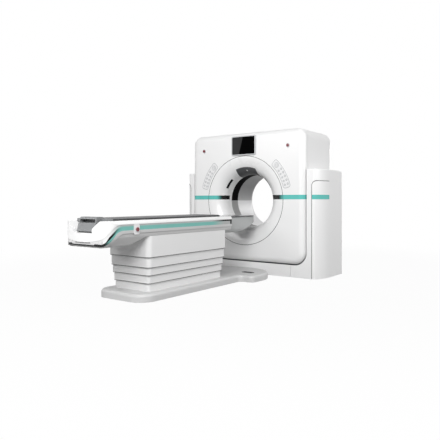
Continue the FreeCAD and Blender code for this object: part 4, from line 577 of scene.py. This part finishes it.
def fixingCaps():
    # an oval cap on each side with a sunk middle and two bolt heads
    whole = bmesh.new()
    top = baseMoulding["top"] + fixingCap["proud"]
    heights = (baseMoulding["top"] - fixingCap["sunk"], top)
    middle = sum(fixingCap["ends"]) / 2
    for side in (-1, 1):
        mesh = roundedBlock(fixingCap["half"], fixingCap["ends"], heights, fixingCap["corner"])
        rim = [edge for edge in mesh.edges if min(vertex.co.z for vertex in edge.verts) > top - levelGap]
        bevelEdges(mesh, rim, fixingCap["edge"], fixingCap["edgeSegments"])
        # of the faces at the top, the largest
        lid = max((face for face in mesh.faces if face.calc_center_median().z > top - levelGap),
                  key=lambda face: face.calc_area())
        bmesh.ops.inset_region(mesh, faces=[lid], thickness=fixingCap["rimWidth"])
        bmesh.ops.translate(mesh, verts=lid.verts[:], vec=(0, 0, -fixingCap["dish"]))
        for away in (-1, 1):
            place = Vector((away * fixingCap["boltAside"], middle, top + fixingCap["boltRise"]))
            bmesh.ops.create_cone(
                mesh, cap_ends=True, segments=6, radius1=fixingCap["boltRadius"],
                radius2=fixingCap["boltRadius"] * fixingCap["boltTaper"], depth=fixingCap["boltDepth"],
                matrix=Matrix.Translation(place))
        bmesh.ops.translate(mesh, verts=mesh.verts, vec=(side * fixingCap["aside"], 0, 0))
        data = bpy.data.meshes.new("cap")
        mesh.to_mesh(data)
        mesh.free()
        whole.from_mesh(data)
        bpy.data.meshes.remove(data)
    return whole


caps = pieceFrom(fixingCaps(), "floor_fixing_caps", "base", finishes["trimBlack"])
smoothShade(caps, crispAngle)
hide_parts("floor_fixings")
print("couch base made")


# nose under the front of the cradle: its underside curves up to a thin tip

noseShape = {
    "riseFrom": -0.69, "tip": -0.303, "level": 0.706, "underside": 0.573, "rise": 0.128, "power": 2.3,
    "cuts": 16}


def noseMoulding():
    mesh = copyOfNode("nose_shell")
    run = noseShape["tip"] - noseShape["riseFrom"]
    for step in range(1, noseShape["cuts"]):
        cutAcross(mesh, (0, noseShape["riseFrom"] + run * step / noseShape["cuts"], 0), (0, 1, 0))
    # nothing above the level moves, so that the roller's pocket stays as it is
    level = noseShape["level"]
    for vertex in mesh.verts:
        along = (vertex.co.y - noseShape["riseFrom"]) / run
        if along > 0 and vertex.co.z < level:
            rise = noseShape["rise"] * along ** noseShape["power"]
            squeeze = rise / (level - noseShape["underside"])
            vertex.co.z = level - (level - vertex.co.z) * (1 - squeeze)
    return mesh


nose = pieceFrom(noseMoulding(), "nose_moulding", "couch", finishes["noseGrey"])
smoothShade(nose, crispAngle)
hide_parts("nose_shell")
print("nose made")


# couch side stripe: green, with grey painted shade along its upper edge; a groove on the slope at the foot
# and a line at the front, both painted black as shade

# pairs along the couch are Y places, pairs across the stripe are shares from its lower edge to its upper one
# grey and black are painted shade: grey under the upper shell's rim, black in the groove
couchStripe = {
    "teal": (0.20, 0.52, 0.47), "grey": (0.50, 0.51, 0.51), "black": (0.004, 0.005, 0.005),
    "white": (0.80, 0.80, 0.80), "pale": (0.45, 0.46, 0.46), "slope": (-2.83, -2.70),
    "foot": (-2.875, -2.82), "front": (-1.40, -1.12), "hook": (-1.035, -1.028),
    "wider": (-2.87, -2.84), "widerBy": 0.26, "end": (-2.907, -2.900), "endBy": 0.7,
    "edgeShade": (0.58, 0.86), "grooveTop": (0.52, 0.60), "grooveFoot": (0.16, 0.30),
    "thinLine": (0.62, 0.72), "lowMiddle": 0.566, "highMiddle": 0.714, "bendAt": -2.768, "bendSlope": 1.19}


def couchStripeFinish(recipe):
    material, tree, shader = startMaterial("couchStripeTeal")
    point = objectPoint(tree)
    y = axisOf(tree, point, "Y")
    across = addNode(tree, "ShaderNodeAttribute", attribute_name="across").outputs["Fac"]
    teal = clouded(tree, point, recipe["teal"], stripeRecipe)
    # on the straight side: grey painted shade along the top edge, under the upper shell's rim, green below
    colour = mixColours(tree, rangeOf(tree, across, 0, 1, *recipe["edgeShade"], True), teal, recipe["grey"])
    # on the slope: white above, a groove painted black as shade, a little green that darkens to black towards
    # the foot, also painted shade
    wider = rangeOf(tree, y, recipe["widerBy"], 0, *recipe["wider"], True)
    end = rangeOf(tree, y, recipe["endBy"], 0, *recipe["end"], True)
    shifted = calculate(tree, "SUBTRACT", calculate(tree, "ADD", across, wider), end)
    upper = rangeOf(tree, shifted, 0, 1, *recipe["grooveTop"], True)
    footShade = rangeOf(tree, y, 1, 0, *recipe["foot"], True)
    under = mixColours(tree, footShade, teal, recipe["black"])
    groove = rangeOf(tree, across, 0, 1, *recipe["grooveFoot"], True)
    slope = mixColours(tree, groove, under, recipe["black"])
    slope = mixColours(tree, upper, slope, recipe["white"])
    onSlope = rangeOf(tree, y, 1, 0, *recipe["slope"], True)
    colour = mixColours(tree, onSlope, colour, slope)
    # at the front end: a thin black line of painted shade on top that turns down, pale below it
    thinTop = rangeOf(tree, across, 0, 1, *recipe["thinLine"], True)
    hook = rangeOf(tree, y, 0, 1, *recipe["hook"], True)
    frontLine = mixColours(tree, calculate(tree, "MAXIMUM", thinTop, hook), recipe["pale"], recipe["black"])
    front = rangeOf(tree, y, 0, 1, *recipe["front"], True)
    colour = mixColours(tree, front, colour, frontLine)
    finishSurface(tree, shader, stripeRecipe, colour, point)
    return material


def stripeMoulding():
    # every point lies on the upper or the lower edge; a line half way between them tells which
    mesh = copyOfNode("couch_stripe")
    acrossLayer = mesh.verts.layers.float.new("across")
    low, high = couchStripe["lowMiddle"], couchStripe["highMiddle"]
    for vertex in mesh.verts:
        bend = high + (vertex.co.y - couchStripe["bendAt"]) * couchStripe["bendSlope"]
        vertex[acrossLayer] = 1.0 if vertex.co.z > max(low, min(high, bend)) else 0.0
    return mesh


couchSideStripe = pieceFrom(
    stripeMoulding(), "couch_side_stripe", "couch", couchStripeFinish(couchStripe))
smoothShade(couchSideStripe)
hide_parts("couch_stripe")
print("couch stripe made")


# dark beads in the open joints, as painted shade in these gaps, and dark rubber wipers under the telescoping
# covers that also paint the shade below each cover

def tubeAlong(paths, radius, closed=False):
    # one mesh of round beads that follow the given points
    curve = bpy.data.curves.new("beadPath", "CURVE")
    curve.dimensions = "3D"
    curve.bevel_depth = radius
    curve.bevel_resolution = beadSides
    curve.use_fill_caps = True
    for points in paths:
        spline = curve.splines.new("POLY")
        spline.points.add(len(points) - 1)
        for splinePoint, place in zip(spline.points, points):
            splinePoint.co = (*place, 1)
        spline.use_cyclic_u = closed
    holder = bpy.data.objects.new("beadPath", curve)
    data = bpy.data.meshes.new_from_object(holder)
    bpy.data.objects.remove(holder)
    mesh = bmesh.new()
    mesh.from_mesh(data)
    bmesh.ops.remove_doubles(mesh, verts=mesh.verts, dist=mergeGap / 2)
    bmesh.ops.recalc_face_normals(mesh, faces=mesh.faces)
    return mesh


jointBeads = {
    "ringRadius": 0.5862, "ringDepth": -0.2915, "ringBead": 0.0048, "ringSteps": 120,
    "doorEdge": 0.9500, "doorTop": 1.2020, "doorFoot": 0.004, "doorFront": -0.240, "doorBack": 0.42,
    "doorCorner": 0.062, "doorDepth": 0.0022, "doorBead": 0.0040, "cornerSteps": 10, "afterCorner": 0.006,
    "bowFrom": 0.962, "bowShare": 0.9, "bowLength": 0.05, "outlineFrom": 1.1995,
    "wiperHeight": 0.0048, "wiperDepth": 0.009, "wiperProud": 0.0006, "wiperDrop": 0.0005,
    "wiperCorner": 0.052, "cornerStep": 0.0072}


def ringSeamShadePath():
    places = []
    for step in range(jointBeads["ringSteps"]):
        turn = 2 * math.pi * step / jointBeads["ringSteps"]
        places.append((jointBeads["ringRadius"] * math.cos(turn), jointBeads["ringDepth"],
                       isoHeight + jointBeads["ringRadius"] * math.sin(turn)))
    return places


# a dark bead laid in the gap round the front ring: painted shade in the seam
ringSeamShade = pieceFrom(
    tubeAlong([ringSeamShadePath()], jointBeads["ringBead"], True), "ring_seam_shade", "gantry",
    finishes["rollerRubber"])
smoothShade(ringSeamShade, beadAngle)


def doorFace():
    # the pillar's outline in plan at the door's top edge, from the front round to the rear
    places = sorted({(round(vertex.co.y, 4), round(vertex.co.x, 4))
                     for vertex in nodes["pillar_doors"].data.vertices
                     if vertex.co.x > 0 and vertex.co.z > jointBeads["outlineFrom"]})
    outer = []
    for y, x in places:
        if not outer or x > outer[-1][1] or y > jointBeads["doorBack"]:
            outer.append((y, x))
    return outer


def doorSeamShadePath(side):
    # up the front edge, round the corner, then back along the top
    edge = jointBeads["doorEdge"]
    top = jointBeads["doorTop"]
    corner = jointBeads["doorCorner"]
    front = jointBeads["doorFront"] + jointBeads["doorDepth"]
    places = [(side * edge, front, jointBeads["doorFoot"]), (side * edge, front, (top - corner) / 2)]
    for step in range(jointBeads["cornerSteps"]):
        turn = math.radians(180 - 90 * step / jointBeads["cornerSteps"])
        x = edge + corner + corner * math.cos(turn)
        bow = max(0.0, x - jointBeads["bowFrom"])
        y = front + jointBeads["bowShare"] * bow * bow / jointBeads["bowLength"]
        places.append((side * x, y, top - corner + corner * math.sin(turn)))
    for y, x in doorFace():
        if places[-1][1] + jointBeads["afterCorner"] < y < jointBeads["doorBack"]:
            places.append((side * (x - jointBeads["doorDepth"]), y, top))
    return places


# dark beads up the pillar doors' front edges and along their tops: painted shade in the door seams
doorSeamShade = pieceFrom(
    tubeAlong([doorSeamShadePath(1), doorSeamShadePath(-1)], jointBeads["doorBead"]), "door_seam_shade", "base",
    finishes["rollerRubber"])
smoothShade(doorSeamShade, beadAngle)


def wiperAndShadeMesh(nodeName, corner):
    # a dark rubber band round the lower edge of one telescoping cover, turned in under it, that also paints
    # the shade in the gap below the cover
    places = [vertex.co for vertex in nodes[nodeName].data.vertices]
    proud = jointBeads["wiperProud"]
    half = max(place.x for place in places) + proud
    ends = (min(place.y for place in places) - proud, max(place.y for place in places) + proud)
    bottom = min(place.z for place in places) - jointBeads["wiperDrop"]
    mesh = roundedBlock(half, ends, (bottom, bottom + jointBeads["wiperHeight"]), corner)
    lids = [face for face in mesh.faces if abs(face.normal.z) > 0.9]
    bmesh.ops.delete(mesh, geom=lids, context="FACES_ONLY")
    bmesh.ops.recalc_face_normals(mesh, faces=mesh.faces)
    bmesh.ops.solidify(mesh, geom=mesh.faces[:], thickness=jointBeads["wiperDepth"])
    bmesh.ops.recalc_face_normals(mesh, faces=mesh.faces)
    return mesh


# wipers under the upper four covers, partly rubber and partly painted shade in the gaps
for index, bodyName in enumerate(("couch", "tier_2", "tier_3", "tier_4")):
    wiperCorner = jointBeads["wiperCorner"] - jointBeads["cornerStep"] * index
    wiper = pieceFrom(
        wiperAndShadeMesh("pedestal_tier_%d" % (index + 1), wiperCorner), "tier_wiper_and_shade_%d" % (index + 1),
        bodyName, finishes["wiperAndShadeGrey"])
    smoothShade(wiper, crispAngle)
print("seals and wipers made")


# mattress: a thin foam pad in a vinyl cover, with a welded seam round it

mattress = {
    "half": 0.205, "foot": -2.737, "head": -1.074, "low": 0.7705, "high": 0.789, "corner": 0.05,
    "voxel": 0.007, "pressure": 4.0, "quality": 4, "frames": 20, "cap": 0.004, "crown": 0.0015,
    "crownRun": 6, "relax": 0.5, "relaxTimes": 3, "seamHeight": 0.7815, "seamRadius": 0.0028,
    "seamProud": 0.0012, "seamSteps": 8}


def padOutline():
    return roundedBlock(
        mattress["half"], (mattress["foot"], mattress["head"]), (mattress["low"], mattress["high"]),
        mattress["corner"])


def vinylFinish(recipe):
    # pebbled vinyl with faint creases across the pad
    material, tree, shader = startMaterial("padVinyl")
    point = objectPoint(tree)
    pebbles = addNode(tree, "ShaderNodeTexVoronoi", {"Scale": recipe["pebbleScale"]})
    tree.links.new(point, pebbles.inputs["Vector"])
    creases = noiseOn(tree, point, recipe["creaseScale"], recipe["creaseDetail"], recipe["creaseStretch"])
    raised = calculate(tree, "MULTIPLY", pebbles.outputs["Distance"], recipe["pebbleShare"])
    tree.links.new(rangeOf(tree, creases, *recipe["roughness"]), shader.inputs["Roughness"])
    bumpFrom(tree, shader, calculate(tree, "ADD", raised, creases), recipe["bump"], recipe["bumpDepth"])
    tree.links.new(clouded(tree, point, recipe["colour"], recipe), shader.inputs["Base Color"])
    shader.inputs["Sheen Weight"].default_value = recipe["sheen"]
    shader.inputs["Sheen Roughness"].default_value = recipe["sheenRoughness"]
    return material


vinylRecipe = {
    "colour": (0.030, 0.031, 0.034), "cloudScale": 6.0, "cloudDetail": 4.0, "cloudShade": 0.82,
    "pebbleScale": 620.0, "pebbleShare": 0.25, "creaseScale": 7.0, "creaseDetail": 5.0,
    "creaseStretch": (0.8, 3.0, 1.0), "roughness": (0.42, 0.55), "bump": 0.35, "bumpDepth": 0.0012,
    "sheen": 0.08, "sheenRoughness": 0.4}
padVinyl = vinylFinish(vinylRecipe)
pad = pieceFrom(padOutline(), "mattress_pad", "cradle", padVinyl)


def inflatePad(piece):
    # remesh, fill with pressure, limit how far each point goes, keep the underside flat
    bpy.context.view_layer.objects.active = piece
    piece.select_set(True)
    remesh = piece.modifiers.new("remesh", "REMESH")
    remesh.mode = "VOXEL"
    remesh.voxel_size = mattress["voxel"]
    bpy.ops.object.modifier_apply(modifier=remesh.name)
    start = [vertex.co.copy() for vertex in piece.data.vertices]
    cloth = piece.modifiers.new("fill", "CLOTH")
    cloth.settings.use_pressure = True
    cloth.settings.uniform_pressure_force = mattress["pressure"]
    cloth.settings.effector_weights.gravity = 0.0
    cloth.settings.quality = mattress["quality"]
    cloth.point_cache.frame_start = 1
    cloth.point_cache.frame_end = mattress["frames"]
    for frameNumber in range(1, mattress["frames"] + 1):
        bpy.context.scene.frame_set(frameNumber)
    bpy.ops.object.modifier_apply(modifier=cloth.name)
    bpy.context.scene.frame_set(1)
    for vertex, before in zip(piece.data.vertices, start):
        shift = vertex.co - before
        if shift.length > mattress["cap"]:
            vertex.co = before + shift.normalized() * mattress["cap"]
        inward = max(0.0, 1 - abs(vertex.co.x) / mattress["half"])
        if vertex.co.z > (mattress["low"] + mattress["high"]) / 2:
            vertex.co.z += mattress["crown"] * min(1.0, inward * mattress["crownRun"])
        vertex.co.z = max(vertex.co.z, mattress["low"])
    smoothing = piece.modifiers.new("relax", "SMOOTH")
    smoothing.factor = mattress["relax"]
    smoothing.iterations = mattress["relaxTimes"]
    bpy.ops.object.modifier_apply(modifier=smoothing.name)
    piece.data.shade_smooth()
    piece.select_set(False)


inflatePad(pad)
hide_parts("mattress")


def seamTube():
    # a thin welded bead that runs round the pad at half height
    places = []
    radius = mattress["corner"]
    reach = mattress["half"] + mattress["seamProud"] - radius
    foot = mattress["foot"] - mattress["seamProud"] + radius
    head = mattress["head"] + mattress["seamProud"] - radius
    for centreX, centreY, startTurn in (
            (reach, head, 0), (-reach, head, 90), (-reach, foot, 180), (reach, foot, 270)):
        for step in range(mattress["seamSteps"] + 1):
            turn = math.radians(startTurn + 90 * step / mattress["seamSteps"])
            places.append((centreX + radius * math.cos(turn), centreY + radius * math.sin(turn),
                           mattress["seamHeight"]))
    return tubeAlong([places], mattress["seamRadius"], True)


padSeam = pieceFrom(seamTube(), "mattress_seam", "cradle", padVinyl)
smoothShade(padSeam, beadAngle)
print("mattress made:", len(pad.data.polygons), "faces")


# floor, backdrop, light and camera

stageValues = {
    "floorSize": 60.0, "floorColour": (0.30, 0.30, 0.30, 1.0), "shadowShare": 0.97, "fade": (2.2, 5.5),
    "worldLight": 0.02, "worldColour": (1.0, 1.0, 1.0, 1.0)}


def seenShare(tree):
    # 1 for what the camera sees directly, in reflections and through glass
    path = addNode(tree, "ShaderNodeLightPath")
    seen = calculate(tree, "ADD", path.outputs["Is Camera Ray"], path.outputs["Is Glossy Ray"], True)
    return calculate(tree, "ADD", seen, path.outputs["Is Transmission Ray"], True)


def makeFloor():
    mesh = bmesh.new()
    bmesh.ops.create_grid(mesh, x_segments=1, y_segments=1, size=stageValues["floorSize"] / 2)
    data = bpy.data.meshes.new("studioFloor")
    mesh.to_mesh(data)
    mesh.free()
    floor = bpy.data.objects.new("studioFloor", data)
    bpy.context.scene.collection.objects.link(floor)
    material = bpy.data.materials.new("studioFloor")
    material.use_nodes = True
    tree = material.node_tree
    tree.nodes.clear()
    point = objectPoint(tree)
    length = addNode(tree, "ShaderNodeVectorMath", operation="LENGTH")
    tree.links.new(point, length.inputs[0])
    fade = rangeOf(tree, length.outputs["Value"], stageValues["shadowShare"], 1.0, *stageValues["fade"], True)
    share = calculate(tree, "MULTIPLY", seenShare(tree), fade)
    matte = addNode(tree, "ShaderNodeBsdfDiffuse", {"Color": stageValues["floorColour"]})
    glow = addNode(tree, "ShaderNodeEmission", {"Color": (1, 1, 1, 1), "Strength": 1.0})
    mix = addNode(tree, "ShaderNodeMixShader")
    output = addNode(tree, "ShaderNodeOutputMaterial")
    tree.links.new(share, mix.inputs[0])
    tree.links.new(matte.outputs[0], mix.inputs[1])
    tree.links.new(glow.outputs[0], mix.inputs[2])
    tree.links.new(mix.outputs[0], output.inputs["Surface"])
    data.materials.append(material)


def makeWorld():
    world = bpy.data.worlds.new("studioWorld")
    bpy.context.scene.world = world
    world.use_nodes = True
    tree = world.node_tree
    tree.nodes.clear()
    light = addNode(tree, "ShaderNodeBackground",
                    {"Color": stageValues["worldColour"], "Strength": stageValues["worldLight"]})
    backdrop = addNode(tree, "ShaderNodeBackground", {"Color": (1, 1, 1, 1), "Strength": 1.0})
    mix = addNode(tree, "ShaderNodeMixShader")
    output = addNode(tree, "ShaderNodeOutputWorld")
    tree.links.new(seenShare(tree), mix.inputs[0])
    tree.links.new(light.outputs[0], mix.inputs[1])
    tree.links.new(backdrop.outputs[0], mix.inputs[2])
    tree.links.new(mix.outputs[0], output.inputs["Surface"])


lamps = {  # place, what it points at, size, watts
    "keyLamp": ((3.0, -6.4, 3.8), (0.2, -0.8, 0.9), 3.4, 305.0),
    "highLamp": ((1.0, -6.0, 4.8), (0.0, -0.5, 1.2), 3.0, 114.0),
    "fillLamp": ((-2.5, -6.0, 3.5), (0.0, -0.8, 1.0), 3.0, 92.0),
    "boreLamp": ((0.5, 2.4, 1.5), (-0.25, 0.3, 0.75), 0.8, 14.0),
    "sideLamp": ((6.5, 0.5, 3.0), (0.6, -0.2, 0.9), 3.0, 172.0),
}


def makeLamps():
    for name, (place, target, size, watts) in lamps.items():
        light = bpy.data.lights.new(name, "AREA")
        light.energy = watts
        light.size = size
        lamp = bpy.data.objects.new(name, light)
        bpy.context.scene.collection.objects.link(lamp)
        lamp.visible_camera = False
        lamp.location = place
        lamp.rotation_euler = (Vector(target) - Vector(place)).to_track_quat("-Z", "Y").to_euler()


cameraValues = {
    "place": (3.607, -5.749, 0.952), "turn": 36.242, "lens": 40.467, "sensor": 36.0, "shift": -0.0429,
    "clip": (0.05, 200.0)}


def makeCamera():
    data = bpy.data.cameras.new("photoCamera")
    data.sensor_width = cameraValues["sensor"]
    data.lens = cameraValues["lens"]
    data.shift_y = cameraValues["shift"]
    data.clip_start, data.clip_end = cameraValues["clip"]
    camera = bpy.data.objects.new("photoCamera", data)
    bpy.context.scene.collection.objects.link(camera)
    camera.location = cameraValues["place"]
    camera.rotation_euler = (math.radians(90), 0, math.radians(cameraValues["turn"]))
    bpy.context.scene.camera = camera


makeFloor()
makeWorld()
makeLamps()
makeCamera()
bpy.context.scene.view_settings.view_transform = "Standard"
print("stage, lamps and camera made")
